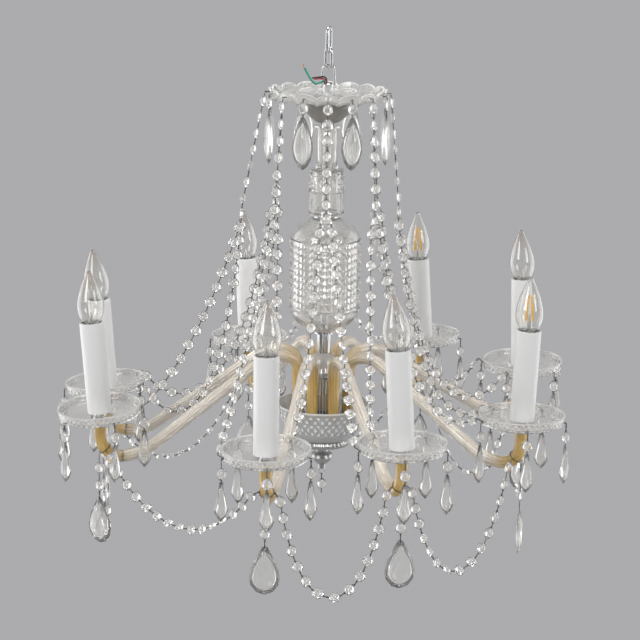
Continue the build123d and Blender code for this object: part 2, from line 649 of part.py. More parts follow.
def garlands():
    """Long strings between neighbouring arms, fixed to two clips; only the end beads hang flat."""
    strings = []
    for i in range(ARM_COUNT):
        first = outer_bend(i, ARM_RADII[-1])
        second = outer_bend((i + 1) % ARM_COUNT, ARM_RADII[-1])
        chord = second - first
        along = Vector(chord.X, chord.Y, 0).normalized()
        side = arm_side(i)
        far_side = arm_side((i + 1) % ARM_COUNT)
        centres = catenary_centres(
            first + side * GARLAND_OFFSET, second - far_side * GARLAND_OFFSET, GARLAND_LENGTH, GARLAND_BEADS)
        start = first + side * (CLIP_R - 0.2)
        end = second - far_side * (CLIP_R - 0.2)
        flat = [along.cross(Vector(0, 0, 1))] * GARLAND_FLAT_BEADS
        edgewise = [Vector(0, 0, 1)] * (GARLAND_BEADS - 2 * GARLAND_FLAT_BEADS)
        strings.append(bead_string(centres, start, end, flat + edgewise + flat))
    return strings


def make_chains():
    strings = upper_strands() + lower_strands() + garlands()
    clips = [arm_clip(i) for i in range(ARM_COUNT)]
    save("bead_chains", *strings, *rim_hooks(), *clips)


# ================================================================ supply wires
def wire_tube(route, diameter):
    """Tube on straight runs with an arc at each corner."""
    points = [Vector(*point) for point in route]
    radii = []
    for before, corner, after in zip(points, points[1:], points[2:]):
        turn = math.radians((corner - before).get_angle(after - corner))
        run = min((corner - before).length, (after - corner).length)
        radii.append(0.45 * run / math.tan(turn / 2))
    path = FilletPolyline(*points, radius=radii)
    section = Plane(points[0], z_dir=points[1] - points[0]) * Circle(diameter / 2)
    tube = sweep(section, path=path).solid()
    length = path.length
    print("wire", diameter, "length", round(length, 1), "radii", [round(r, 1) for r in radii],
          "volume ratio", round(tube.volume / (math.pi * diameter ** 2 / 4 * length), 4))
    return tube


def make_wires():
    save("earth_wire", wire_tube(EARTH_ROUTE, EARTH_WIRE))
    save("neutral_wire", wire_tube(NEUTRAL_ROUTE, CORE_WIRE))
    save("live_wire", wire_tube(LIVE_ROUTE, CORE_WIRE))


def main():
    os.makedirs("parts", exist_ok=True)
    make_links()
    make_bail()
    make_coupler()
    make_column()
    make_receiver()
    make_finial()
    make_arms()
    make_candles()
    make_drops()
    make_pendants()
    make_chains()
    make_wires()


if __name__ == "__main__":
    main()
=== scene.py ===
"""Looks of the crystal chandelier: cut glass, bead strings, arms, candles, wires and the studio.

Sizes are in millimetres, with levels above the plane of the drip pan rims, until a shape is put
into a mesh. There they become metres, lowered so that the ceiling hook's bearing is the origin.
Azimuth 0 faces the viewer and grows to the right.
"""

import math

import bpy
import numpy as np
from bpy.props import FloatProperty, FloatVectorProperty, IntProperty, PointerProperty
from mathutils import Matrix


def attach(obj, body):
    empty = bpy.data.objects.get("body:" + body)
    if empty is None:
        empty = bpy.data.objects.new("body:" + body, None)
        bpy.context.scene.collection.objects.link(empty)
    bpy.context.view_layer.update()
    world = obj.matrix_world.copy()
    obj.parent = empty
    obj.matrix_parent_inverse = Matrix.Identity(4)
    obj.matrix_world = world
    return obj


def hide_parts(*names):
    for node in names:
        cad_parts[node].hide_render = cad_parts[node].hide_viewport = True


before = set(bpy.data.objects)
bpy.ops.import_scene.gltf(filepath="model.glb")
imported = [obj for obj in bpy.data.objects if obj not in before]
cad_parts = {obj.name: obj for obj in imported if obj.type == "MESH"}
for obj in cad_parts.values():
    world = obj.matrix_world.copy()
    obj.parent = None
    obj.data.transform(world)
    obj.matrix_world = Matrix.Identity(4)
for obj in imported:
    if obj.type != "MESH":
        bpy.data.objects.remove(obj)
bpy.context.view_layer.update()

bl_info = {
    "name": "Crystal chandelier",
    "version": (1, 0, 0),
    "blender": (4, 5, 0),
    "location": "View3D > Sidebar > Chandelier",
    "description": "Builds the glass, metal and studio of an eight-light crystal chandelier",
    "category": "Add Mesh",
}

# ------------------------------------------------------------------ driving dimensions
# Lists of eight go by arm, from the front left one round to the right, or by three-way stone, from
# the front one round to the right. Angles are in degrees, where nothing else is said.
HOOK_LEVEL = 464.5
ARM_COUNT = 8
SOCKET_RADIUS = 36.0
CANDLE_RADIUS = 297.0
ARM_SWIVEL = [9.5, -3.6, -10.6, 0.9, -5.7, -1.3, 11.8, -7.5]
ARM_LIFT = [-3.0, 5.0, 10.0, 10.0, 12.0, 1.0, -12.0, -13.0]
ARM_R = 8.0
LINER_R = 5.6
ARM_FOOT_LEVEL = -52.2
ARM_END_LEVEL = -19.6
ARM_SHOULDER_LEVEL = 38.0
ARM_CREST_LEVEL = 46.0
ARM_CREST_REACH = 36.0
ARM_DIP_LEVEL = -69.5
ARM_DIP_REACH = 51.5
ARM_RADII = [20.0, 40.0, 74.0, 29.0]
ARM_PATH_STEP = 4.0
ARM_SIDES = 48
LINER_SIDES = 40
HOOK_ANGLE = 38.0
CLIP_R = 9.5

PAN_R = 54.5
PAN_HOLES = 5
PAN_HOLE_DEPTH = 8.5
# Least distance of a drop from the line of its own arm, and the distance beyond which it is free.
DROP_CLEARANCE = 13.8
DROP_TURN_CLEARANCE = 18.5
# Tilts of the pans to the right and front edge down, and of the candles and bulbs to the right.
PAN_LEAN = [-0.6, -0.3, 0.0, -0.5, -0.5, -0.5, -5.5, -4.2]
PAN_NOD = [2.3, 0.0, 0.0, 2.5, 0.0, 0.0, 0.0, 3.7]
CANDLE_LEAN = [-0.3, -3.8, 2.2, -1.9, -4.1, -2.6, -4.3, -4.7]
BULB_LEAN = [1.3, -2.4, -2.4, -2.4, 2.0, 0.0, -2.4, 2.4]
PAN_FIRST_HOLE = [3.0, 2.0, 3.0, -26.0, 7.8, -14.8, -12.0, 25.5]
LEAN_LEVEL = -12.0
SLEEVE_TOPS = [113.0, 113.0, 106.0, 112.0, 106.0, 111.0, 110.0, 110.0]
BULB_HEIGHT = 67.0
LED_BULBS = (2, 4)

BEAD_PITCH = 20.0
# Share of a bead's radius at which its pins begin.
BEAD_REACH = 0.82
STRAND_BEADS = 7
RIM_HOOK_LEVEL = 384.5
RIM_HOOK_START = 75.3
STRAND_TOP_LEVEL = 383.0
STRAND_TOP_RADIUS = 80.5
LINK_STONE_LEVELS = [245.0, 240.0, 241.0, 239.0, 239.0, 239.0, 235.0, 233.0]
LINK_STONE_RADII = [90.0, 88.0, 93.5, 95.0, 95.0, 95.0, 109.0, 92.5]
LINK_STONE_WIDTH = 17.0
LINK_STONE_HEIGHT = 15.0
STRAND_END_OUT = 5.8
STRAND_END_RISE = 6.0
# How far the upper strands bulge up from straight.
STRAND_BULGE = 1.0
# For each three-way stone: the arm and the azimuth on its pan of the ends of its two lower strands,
# and the lengths of the two. Those longer than their ends are apart hang slack.
STRAND_ENDS = [((0, 147.0), (1, 290.0)), ((1, 218.0), (2, 291.0)), ((2, 219.0), (3, 334.0)),
               ((3, 262.0), (4, 7.8)), ((4, 295.8), (5, 57.2)), ((5, 345.2), (6, 132.0)),
               ((6, 60.0), (7, 97.5)), ((0, 291.0), (0, 172.0))]
STRAND_LENGTHS = [(283.0, 313.6), (281.0, 325.0), (330.0, 352.0), (345.0, 285.0),
                  (285.0, 283.0), (285.0, 370.0), (352.0, 269.0), (342.6, 280.0)]
GARLAND_LENGTH = 322.0
GARLAND_BEADS = 15
GARLAND_OFFSET = 14.5
# Beads at each end of a garland that face sideways; those between face half upwards.
GARLAND_STEEP_BEADS = 3
PEAR_BEAD_DROPS = [19.7, 43.7]
PEAR_STONE_DROP = 60.2
ALMOND_BEAD_DROPS = [10.7]
ALMOND_STONE_DROP = 22.2
PAN_BEAD_DROP = 18.5
PAN_SPEAR_DROP = 28.5
FINIAL_BEAD_DROP = 13.5
FINIAL_PIN_DROP = 26.0
# Largest turn of a pin about its own length, in radians.
PIN_TURN = 1.2

SPEAR_OUTLINE = [(2.5, 0.0), (6.0, -22.0), (9.2, -36.0), (5.5, -44.0), (0.0, -50.0)]
PEAR_OUTLINE = [(3.0, 0.0), (9.0, -11.0), (15.0, -23.0), (19.0, -38.0), (17.0, -49.0),
                (10.0, -58.0), (0.0, -61.5)]
ALMOND_OUTLINE = [(2.5, 0.0), (8.5, -13.0), (13.0, -27.0), (14.5, -40.0), (11.5, -53.0),
                  (6.0, -62.0), (0.0, -66.0)]
PEAR_FACING = [0.0, 8.0, 82.0, 40.0, 150.0, 165.0, -100.0, -35.0]
FINIAL_RING_LEVEL = -119.5

VASE_R = 47.0
VASE_BAND = (106.0, 195.0)
CUP_BAND = (258.5, 285.2)
KNOB_COLUMNS = 14
BOWL_SIDES = 192
DIAMOND_LOBES = 18
PAN_WALL_FOOT = -11.4
PAN_WALL_HEIGHT = 9.8
# Strength of a cut pattern from which its faces are white.
CUT_WHITE = 0.62

EARTH_WIRE = 2.6
CORE_WIRE = 2.0
EARTH_ROUTE = [(-3.6, -1.2, 387.4), (-3.6, -1.2, 399.2), (-8.2, -5.6, 399.2), (-15.0, -9.4, 395.6),
               (-20.2, -8.6, 399.0), (-25.4, -7.0, 406.4), (-30.8, -5.4, 416.4)]
NEUTRAL_ROUTE = [(-1.2, -0.2, 387.4), (-1.2, -0.2, 399.2), (-4.2, -4.4, 405.6), (-11.2, -6.0, 404.8),
                 (-20.6, -4.4, 403.2)]
LIVE_ROUTE = [(-0.8, -3.4, 387.4), (-0.8, -3.4, 397.4), (-5.2, -7.4, 403.4), (-11.8, -8.6, 403.2),
              (-18.0, -7.4, 402.4)]
EARTH_TIP = (-32.6, -4.8, 420.4)

# Distance in metres; focal length and centre in pixels of the photo.
CAMERA_DISTANCE = 2.93
CAMERA_ELEVATION = 14.77
CAMERA_ROLL = 0.98
CAMERA_FOCAL = 2220.0
CAMERA_CENTRE = (323.1, 384.0)
PICTURE_SIDE = 640.0
SENSOR_WIDTH = 36
STAGE_MIDDLE = (0, 0, -0.35)
# Name, place and size in metres, and power in watts.
SOFT_BOXES = [("side left", (-2.2, 0.8, -0.4), (2.3, 3.0), 36),
              ("side right", (2.2, 0.8, -0.4), (2.3, 3.0), 30),
              ("key left", (-2.1, -2.5, 0.9), (1.4, 1.9), 60),
              ("key right", (2.5, -2.1, 0.5), (1.1, 1.6), 34),
              ("top", (0, 0.2, 2.2), (1.7, 1.7), 40)]
WORLD_DIM = (0.15, 0.15, 0.155, 1)
WORLD_THROUGH_GLASS = (0.5, 0.5, 0.5, 1)
BACKDROP_GLOW = 1.02
FLOOR_WHITE = (0.6, 0.6, 0.6)

UP = np.array([0.0, 0.0, 1.0])


# ------------------------------------------------------------------ places
def direction(azimuth):
    """Level unit vector of an azimuth in degrees."""
    angle = math.radians(azimuth)
    return np.array([math.sin(angle), -math.cos(angle), 0.0])


def unit(vectors):
    """Vectors divided by their lengths."""
    return vectors / np.linalg.norm(vectors, axis=-1, keepdims=True)


def candle_foot(index):
    return direction((index - 0.5) * 360 / ARM_COUNT + ARM_SWIVEL[index]) * CANDLE_RADIUS


def arm_socket(index):
    return direction((index - 0.5) * 360 / ARM_COUNT) * SOCKET_RADIUS


def arm_outwards(index):
    return unit(candle_foot(index) - arm_socket(index))


def arm_side(index):
    outwards = arm_outwards(index)
    return np.array([-outwards[1], outwards[0], 0.0])


def arm_reach(index):
    return float(np.linalg.norm(candle_foot(index) - arm_socket(index)))


def outer_bend(index, radius):
    """Point on the outside bend of an arm, radius away from the centre of the bend."""
    angle = math.radians(HOOK_ANGLE)
    across = arm_reach(index) - ARM_RADII[-1] + radius * math.cos(angle)
    level = ARM_DIP_LEVEL + ARM_LIFT[index] + ARM_RADII[-1] - radius * math.sin(angle)
    return arm_socket(index) + arm_outwards(index) * across + UP * level


def tilt(lean, nod=0.0):
    """Rotation about the Y axis, top to the right, and then about the X axis, front edge down."""
    angles = math.radians(lean), math.radians(nod)
    (c, s), (cn, sn) = ((math.cos(a), math.sin(a)) for a in angles)
    forwards = np.array([[1, 0, 0], [0, cn, -sn], [0, sn, cn]])
    return forwards @ np.array([[c, 0, s], [0, 1, 0], [-s, 0, c]])


def leaning(points, index, lean, nod=0.0):
    """Points given about a candle's own axis, leaned about its foot and put in place."""
    pivot = np.array([0, 0, LEAN_LEVEL])
    place = candle_foot(index) + UP * (LEAN_LEVEL + ARM_LIFT[index])
    return (points - pivot) @ tilt(lean, nod).T + place


def bulb_lean(points, index):
    """Points of a bulb, leaned in its holder and then with its candle."""
    pivot = np.array([0, 0, SLEEVE_TOPS[index]])
    return leaning((points - pivot) @ tilt(BULB_LEAN[index]).T + pivot, index, CANDLE_LEAN[index])


def pan_edge(index, azimuth):
    """Outside of a pan's wall at the level of its holes, and the way outwards there."""
    outside = direction(azimuth) * (PAN_R + 0.6) - UP * PAN_HOLE_DEPTH
    return leaning(outside[None], index, PAN_LEAN[index], PAN_NOD[index])[0], direction(azimuth)


def filleted(corners, radii, step):
    """Points along straight runs with a tangent arc of the given radius at each inner corner."""
    corners = np.array(corners, float)
    before, here, after = corners[:-2], corners[1:-1], corners[2:]
    inwards, onwards = unit(here - before), unit(after - here)
    turn = np.arccos(np.clip((inwards * onwards).sum(1), -1, 1))
    radii = np.array(radii, float)
    cut = (radii * np.tan(turn / 2))[:, None]
    normal = unit(onwards - inwards)
    centre = here + normal * (radii / np.cos(turn / 2))[:, None]
    pieces = [corners[:1]]
    for k in range(len(here)):
        count = max(3, int(radii[k] * turn[k] / step) + 1)
        angle = np.linspace(-0.5, 0.5, count)[:, None] * turn[k]
        across = unit(inwards[k] + onwards[k])
        arc = centre[k] + radii[k] * (-np.cos(angle) * normal[k] + np.sin(angle) * across)
        low = pieces[-1][-1]
        high = here[k] - inwards[k] * cut[k]
        runs = max(2, int(np.linalg.norm(high - low) / step) + 1)
        pieces += [low + (high - low) * np.linspace(0, 1, runs, endpoint=False)[1:, None], arc]
    low, high = pieces[-1][-1], corners[-1]
    runs = max(2, int(np.linalg.norm(high - low) / step) + 1)
    pieces.append(low + (high - low) * np.linspace(0, 1, runs)[1:, None])
    return np.concatenate(pieces)


def arm_path(index):
    """Centreline of an arm: out of the collar, over the crest, down, round the dip and up."""
    reach, lift = arm_reach(index), ARM_LIFT[index]
    dip = ARM_DIP_LEVEL + lift
    flat = filleted([(0, ARM_FOOT_LEVEL), (0, ARM_SHOULDER_LEVEL), (ARM_CREST_REACH, ARM_CREST_LEVEL),
                     (reach - ARM_DIP_REACH, dip), (reach, dip), (reach, ARM_END_LEVEL + lift)],
                    ARM_RADII, ARM_PATH_STEP)
    return arm_socket(index) + flat[:, :1] * arm_outwards(index) + flat[:, 1:] * UP


# ------------------------------------------------------------------ shapes
# A shape is (vertices, loops, sizes): points in mm, the faces' corners in one row, corners per face.
def grid_faces(rows, cols, wrap_rows, wrap_cols):
    """Quads between neighbours of a rows by cols grid of vertices, as (loops, sizes)."""
    row, col = np.meshgrid(np.arange(rows - (not wrap_rows)), np.arange(cols - (not wrap_cols)),
                           indexing="ij")
    here, there = row * cols, (row + 1) % rows * cols
    col_on = (col + 1) % cols
    quads = np.stack([here + col, here + col_on, there + col_on, there + col], -1)
    return quads.reshape(-1), np.full(row.size, 4)


def joined(shapes):
    """Several shapes as one."""
    starts = np.cumsum([0] + [len(s[0]) for s in shapes[:-1]])
    return (np.concatenate([s[0] for s in shapes]),
            np.concatenate([s[1] + k for s, k in zip(shapes, starts)]),
            np.concatenate([s[2] for s in shapes]))


def moved(shape, change):
    """The shape with change applied to its vertices."""
    return change(shape[0]), shape[1], shape[2]


def turned_rings(profile, columns, half_step=False, wave=None):
    """Rings of a (radius, level) line: x = r sin t, y = -r cos t, z = level, from t = 0 or half a
    column on. wave(r, z, t) changes the radii and levels first."""
    profile = np.array(profile, float)
    t = (np.arange(columns) + 0.5 * half_step)[None] * 2 * np.pi / columns
    r, t = np.broadcast_arrays(profile[:, :1], t)
    z = np.broadcast_to(profile[:, 1:], r.shape)
    if wave:
        r, z = wave(r, z, t)
    return np.stack([r * np.sin(t), -r * np.cos(t), z], -1)


def revolved(profile, sides, wave=None):
    """Closed (radius, level) loop turned about Z."""
    rings = turned_rings(profile, sides, wave=wave)
    return (rings.reshape(-1, 3), *grid_faces(len(rings), sides, True, True))


def lathed(profile, sides):
    """Open (radius, level) line from the axis at the bottom to the axis at the top, turned about Z."""
    rings = turned_rings(profile[1:-1], sides)
    poles = np.array([[0, 0, profile[0][1]], [0, 0, profile[-1][1]]])
    loops, sizes = grid_faces(len(rings), sides, False, True)
    low = len(rings) * sides
    around = np.arange(sides)
    onwards = (around + 1) % sides
    last = low - sides
    bottom = np.stack([np.full(sides, low), onwards, around], 1)
    top = np.stack([np.full(sides, low + 1), last + around, last + onwards], 1)
    return (np.concatenate([rings.reshape(-1, 3), poles]),
            np.concatenate([loops, bottom.reshape(-1), top.reshape(-1)]),
            np.concatenate([sizes, np.full(2 * sides, 3)]))


def face_middles(profile, sides):
    """Row, level and turn of the middle of each face of a revolved loop, without its wave."""
    row, column = np.divmod(np.arange(len(profile) * sides), sides)
    level = (profile[row, 1] + profile[(row + 1) % len(profile), 1]) / 2
    return row, level, (column + 0.5) * 2 * np.pi / sides


def path_frames(path):
    """Unit tangents along a path, and two normals carried along it without twist."""
    tangent = unit(np.gradient(path, axis=0))
    seed = UP if abs(tangent[0, 2]) < 0.9 else np.array([1.0, 0, 0])
    normal = np.zeros_like(path)
    current = unit(seed - tangent[0] * (seed @ tangent[0]))
    for k in range(len(path)):
        current = unit(current - tangent[k] * (current @ tangent[k]))
        normal[k] = current
    return tangent, normal, np.cross(tangent, normal)


def swept(path, radius, sides, wave=None):
    """Solid tube of a radius along a path; wave(angle, place along) scales the radius."""
    tangent, normal, binormal = path_frames(path)
    angle = np.arange(sides) * 2 * np.pi / sides
    place = np.concatenate([[0], np.cumsum(np.linalg.norm(np.diff(path, axis=0), axis=1))])
    a, p = np.meshgrid(angle, place)
    r = np.broadcast_to(np.asarray(radius, float).reshape(-1, 1), a.shape)
    r = r * wave(a, p) if wave else r
    ring = ((np.cos(a) * r)[..., None] * normal[:, None]
            + (np.sin(a) * r)[..., None] * binormal[:, None])
    vertices = (path[:, None] + ring).reshape(-1, 3)
    loops, sizes = grid_faces(len(path), sides, False, True)
    around = np.arange(sides)
    last = (len(path) - 1) * sides
    return (vertices, np.concatenate([loops, around[::-1], last + around]),
            np.concatenate([sizes, [sides, sides]]))


def stacked(rings):
    """Closed solid through rings of equal count, listed from the bottom up, each joined by triangles
    whose shared edges slant the other way in every second row."""
    rows, count = rings.shape[:2]
    row, col = np.meshgrid(np.arange(rows - 1), np.arange(count), indexing="ij")
    onwards = (col + 1) % count
    here, there, even = row * count, (row + 1) * count, row % 2 == 0
    a = np.stack([here + col, here + onwards, there + np.where(even, col, onwards)], -1)
    b = np.stack([here + np.where(even, onwards, col), there + onwards, there + col], -1)
    around = np.arange(count)
    last = (rows - 1) * count
    loops = np.concatenate([a.reshape(-1), b.reshape(-1), around[::-1], last + around])
    sizes = np.concatenate([np.full(2 * row.size, 3), [count, count]])
    return rings.reshape(-1, 3), loops, sizes


def placed(shape, origins, along, facing, twist=0.0, stretch=None):
    """Copies of a shape: its Z lies along, its -Y faces facing, turned by twist about Z."""
    vertices, loops, sizes = shape
    origins, along, facing = (np.atleast_2d(np.asarray(v, float)) for v in (origins, along, facing))
    count = len(origins)
    along = unit(np.broadcast_to(along, origins.shape))
    side = unit(np.cross(along, np.broadcast_to(facing, origins.shape)))
    depth = np.cross(along, side)
    twist = np.broadcast_to(np.asarray(twist, float), (count,))[:, None]
    side, depth = (np.cos(twist) * side + np.sin(twist) * depth,
                   np.cos(twist) * depth - np.sin(twist) * side)
    axes = np.stack([side, depth, along], 1)
    local = np.broadcast_to(vertices, (count, *vertices.shape)).copy()
    if stretch is not None:
        local[:, :, 2] *= np.reshape(stretch, (-1, 1))
    points = np.einsum("nvk,nkc->nvc", local, axes) + origins[:, None]
    steps = np.arange(count)[:, None] * len(vertices)
    return points.reshape(-1, 3), (loops[None] + steps).reshape(-1), np.tile(sizes, count)


def through(points, count):
    """Catmull-Rom line through points: count steps in each span."""
    points = np.array(points, float)
    ends = np.concatenate([points[:1] * 2 - points[1:2], points, points[-1:] * 2 - points[-2:-1]])
    p0, p1, p2, p3 = (ends[k:len(ends) - 3 + k, None] for k in range(4))
    t = (np.arange(count) / count)[None, :, None]
    line = 0.5 * (2 * p1 + (p2 - p0) * t + (2 * p0 - 5 * p1 + 4 * p2 - p3) * t ** 2
                  + (3 * p1 - p0 - 3 * p2 + p3) * t ** 3)
    return np.concatenate([line.reshape(-1, points.shape[1]), points[-1:]])


def studded(cut_rings, peaks, rest):
    """Revolved loop of rings: each cell between the cut rings rises to its own peak as four flat
    triangles, and the rings of the rest close the loop with plain quads."""
    rows, columns = peaks.shape[:2]
    grid = np.concatenate([cut_rings, rest])
    quads = grid_faces(len(grid), columns, True, True)[0].reshape(-1, 4)
    cells, plain = quads[:rows * columns], quads[rows * columns:]
    peak = grid.shape[0] * columns + np.arange(rows * columns)
    facets = np.concatenate([np.stack([cells[:, k], cells[:, (k + 1) % 4], peak], 1) for k in range(4)])
    return (np.concatenate([grid.reshape(-1, 3), peaks.reshape(-1, 3)]),
            np.concatenate([facets.ravel(), plain.ravel()]),
            np.concatenate([np.full(len(facets), 3), np.full(len(plain), 4)]))


def pyramid_wall(band, radii, depth, columns, rows, rest):
    """Wall of square pyramids: valleys on a grid over the band, peaks at its cells' middles."""
    levels = np.linspace(*band, rows + 1)
    radius = np.interp(levels, band, radii)
    middles = (levels[1:] + levels[:-1]) / 2
    valleys = turned_rings(np.stack([radius - depth, levels], 1), columns)
    peaks = turned_rings(np.stack([np.interp(middles, band, radii), middles], 1), columns, True)
    return studded(valleys, peaks, turned_rings(rest, columns))


def flat_stone(outline, thick, table, shoulder=0.8):
    """Cut stone: its outline at the girdle, a table on the front, a smaller one on the back, and
    between them rings of points half a step on, all joined by triangles."""
    outline = np.array(outline, float)
    middle = outline.mean(0)
    halfway = (outline + np.roll(outline, -1, axis=0)) / 2
    levels = [(outline, 0.12 * table, 0.5), (halfway, 0.75 * shoulder, 0.26), (outline, 1.0, 0.0),
              (halfway, shoulder, -0.21), (outline, table, -0.5)]
    rings = []
    for points, scale, share in levels:
        flat = middle + (points - middle) * scale
        rings.append(np.stack([flat[:, 0], np.full(len(flat), share * thick), flat[:, 1]], 1))
    return stacked(np.array(rings))


def mirrored(half):
    """Whole outline from its right half, listed from the top down: over the top, round by the left."""
    left = [(-x, z) for x, z in half if x > 0]
    right = list(reversed(half[1:]))
    return half[:1] + left + right


def cut_bead(radius, thick):
    """Octagon bead, a little longer along its string than across."""
    angle = np.radians(22.5 + 45 * np.arange(8))
    outline = np.stack([0.97 * radius * np.cos(angle), 1.06 * radius * np.sin(angle)], 1)
    return flat_stone(outline, thick, table=0.46, shoulder=0.82)


def three_way_stone():
    """Flat triangular stone with its corners cut off."""
    half, high = LINK_STONE_WIDTH / 2, LINK_STONE_HEIGHT
    outline = [(2.5, 0), (-2.5, 0), (-half, -high + 3), (-half + 3, -high), (half - 3, -high),
               (half, -high + 3)]
    return flat_stone(outline, 5.0, 0.5)


def bow_tie(width):
    """Wire pin of unit length: flat, wide beside each end and pinched in the middle."""
    levels = np.array([-0.5, -0.3, 0.0, 0.3, 0.5])
    half = np.array([0.35, 1.0, 0.35, 1.0, 0.35]) * width
    thin = np.array([0.3, 0.3, 0.45, 0.3, 0.3]) * width
    corner = np.array([(1, 1), (-1, 1), (-1, -1), (1, -1)])
    rings = np.stack([half[:, None] * corner[None, :, 0], thin[:, None] * corner[None, :, 1],
                      np.broadcast_to(levels[:, None], (5, 4))], -1)
    loops, sizes = grid_faces(5, 4, False, True)
    ends = np.array([3, 2, 1, 0, 16, 17, 18, 19])
    return rings.reshape(-1, 3), np.concatenate([loops, ends]), np.concatenate([sizes, [4, 4]])


def ring_of_wire(radius, wire):
    """Torus about the Y axis: a circle of twenty points, and eight round the wire at each."""
    turn = np.arange(20) * 2 * np.pi / 20
    path = np.stack([radius * np.cos(turn), 0 * turn, radius * np.sin(turn)], 1)
    small = (np.arange(8) * 2 * np.pi / 8)[None, :, None]
    y = np.array([0, 1.0, 0])
    points = path[:, None] + wire * (np.cos(small) * unit(path)[:, None] + np.sin(small) * y)
    return (points.reshape(-1, 3), *grid_faces(20, 8, True, True))


# ------------------------------------------------------------------ strings of beads
class Strings:
    """Collects the beads and pins of many strings, to be made into two pieces."""

    def __init__(self, sizes, seed):
        self.bead = cut_bead(sizes.bead_radius * 1000, sizes.bead_thickness * 1000)
        self.reach = sizes.bead_radius * 1000 * BEAD_REACH
        self.tie = bow_tie(sizes.pin_width * 1000)
        self.stones = []
        self.metal = []
        self.random = np.random.default_rng(seed)

    def add(self, centres, start, end, facing, twist=0.5):
        """Beads at the centres, tied from start to end."""
        centres = np.atleast_2d(centres)
        stops = np.concatenate([[start], centres, [end]])
        along = unit(stops[:-2] - stops[2:])
        turns = self.random.uniform(-twist, twist, len(centres))
        self.stones.append(placed(self.bead, centres, along, facing, turns))
        tops = np.concatenate([[start], centres - along * self.reach])
        bottoms = np.concatenate([centres + along * self.reach, [end]])
        self.tie_between(tops, bottoms, np.atleast_2d(facing)[0])

    def tie_between(self, tops, bottoms, facing):
        """One pin between each pair of points."""
        tops, bottoms = np.atleast_2d(tops), np.atleast_2d(bottoms)
        run = tops - bottoms
        length = np.linalg.norm(run, axis=1)
        turns = self.random.uniform(-PIN_TURN, PIN_TURN, len(run))
        self.metal.append(placed(self.tie, (tops + bottoms) / 2, run, facing, turns, length))


def upper_points(start, end, count):
    """Evenly spaced points on a straight line raised by 4 bulge t (1 - t)."""
    t = ((np.arange(count) + 0.5) / count)[:, None]
    return start + (end - start) * t + UP * 4 * STRAND_BULGE * t * (1 - t)


def catenary_points(start, end, length, count):
    """Evenly spaced points of a chain z = a cosh(x / a) of one length between two points."""
    chord = end - start
    level = chord * np.array([1, 1, 0])
    span = float(np.linalg.norm(level))
    flat_length = math.sqrt(length ** 2 - chord[2] ** 2)
    low, high = span / 40, span * 20
    for _ in range(60):
        scale = (low + high) / 2
        longer = 2 * scale * math.sinh(span / 2 / scale) > flat_length
        low, high = (scale, high) if longer else (low, scale)
    lowest = span / 2 - scale * math.atanh(chord[2] / length)
    arc = -scale * math.sinh(lowest / scale) + (np.arange(count) + 0.5) / count * length
    across = scale * np.arcsinh(arc / scale)
    drop = scale * math.cosh(lowest / scale) - scale * np.cosh(across / scale)
    return start + level * ((lowest + across) / span)[:, None] - UP * drop[:, None]


# ------------------------------------------------------------------ pieces and materials
def settings(context):
    """The chandelier's sizes and tints."""
    return context.scene.chandelier_sizes, context.scene.chandelier_tints


def add_object(name, data):
    """Object with the given data, put into the scene."""
    added = bpy.data.objects.new(name, data)
    bpy.context.scene.collection.objects.link(added)
    return added


def add_piece(name, shape, material, body, stands_for=(), smooth=None, attribute=None,
              second=None):
    """Puts a shape into a mesh in metres, gives it its material and lets it ride on a body.
    second is another material and the mask of the faces that take it."""
    vertices, loops, sizes = shape
    points = (vertices - UP * HOOK_LEVEL) / 1000
    mesh = bpy.data.meshes.new(name)
    mesh.vertices.add(len(points))
    mesh.vertices.foreach_set("co", points.astype(np.float32).ravel())
    mesh.loops.add(len(loops))
    mesh.loops.foreach_set("vertex_index", loops.astype(np.int32))
    mesh.polygons.add(len(sizes))
    starts = np.concatenate([[0], np.cumsum(sizes)[:-1]])
    mesh.polygons.foreach_set("loop_start", starts.astype(np.int32))
    mesh.update(calc_edges=True)
    mesh.validate()
    if smooth is not None:
        mesh.shade_smooth()
        mesh.set_sharp_from_angle(angle=math.radians(smooth))
    if attribute is not None:
        layer = mesh.attributes.new("place", "FLOAT", "POINT")
        layer.data.foreach_set("value", attribute.astype(np.float32))
    piece = add_object(name, mesh)
    mesh.materials.append(material)
    if second is not None:
        mesh.materials.append(second[0])
        mesh.polygons.foreach_set("material_index", second[1].astype(np.int32))
    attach(piece, body)
    if stands_for:
        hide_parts(*stands_for)
    return piece


def dress(material, *nodes):
    """Gives CAD nodes a finished material."""
    for name in nodes:
        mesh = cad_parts[name].data
        mesh.materials.clear()
        mesh.materials.append(material)


def noise_group(name, detail, inputs, output, kind):
    """Shader group with float inputs {name: default}, one output, and a noise over the object's own
    space with the input Scale; gives the group, its two ends and the noise."""
    group = bpy.data.node_groups.new(name, "ShaderNodeTree")
    for label, default in inputs.items():
        socket = group.interface.new_socket(label, in_out="INPUT", socket_type="NodeSocketFloat")
        socket.default_value = default
    group.interface.new_socket(output, in_out="OUTPUT", socket_type=kind)
    inside, outside = group.nodes.new("NodeGroupInput"), group.nodes.new("NodeGroupOutput")
    place = group.nodes.new("ShaderNodeTexCoord")
    noise = group.nodes.new("ShaderNodeTexNoise")
    noise.inputs["Detail"].default_value = detail
    group.links.new(place.outputs["Object"], noise.inputs["Vector"])
    group.links.new(inside.outputs["Scale"], noise.inputs["Scale"])
    return group, inside, outside, noise


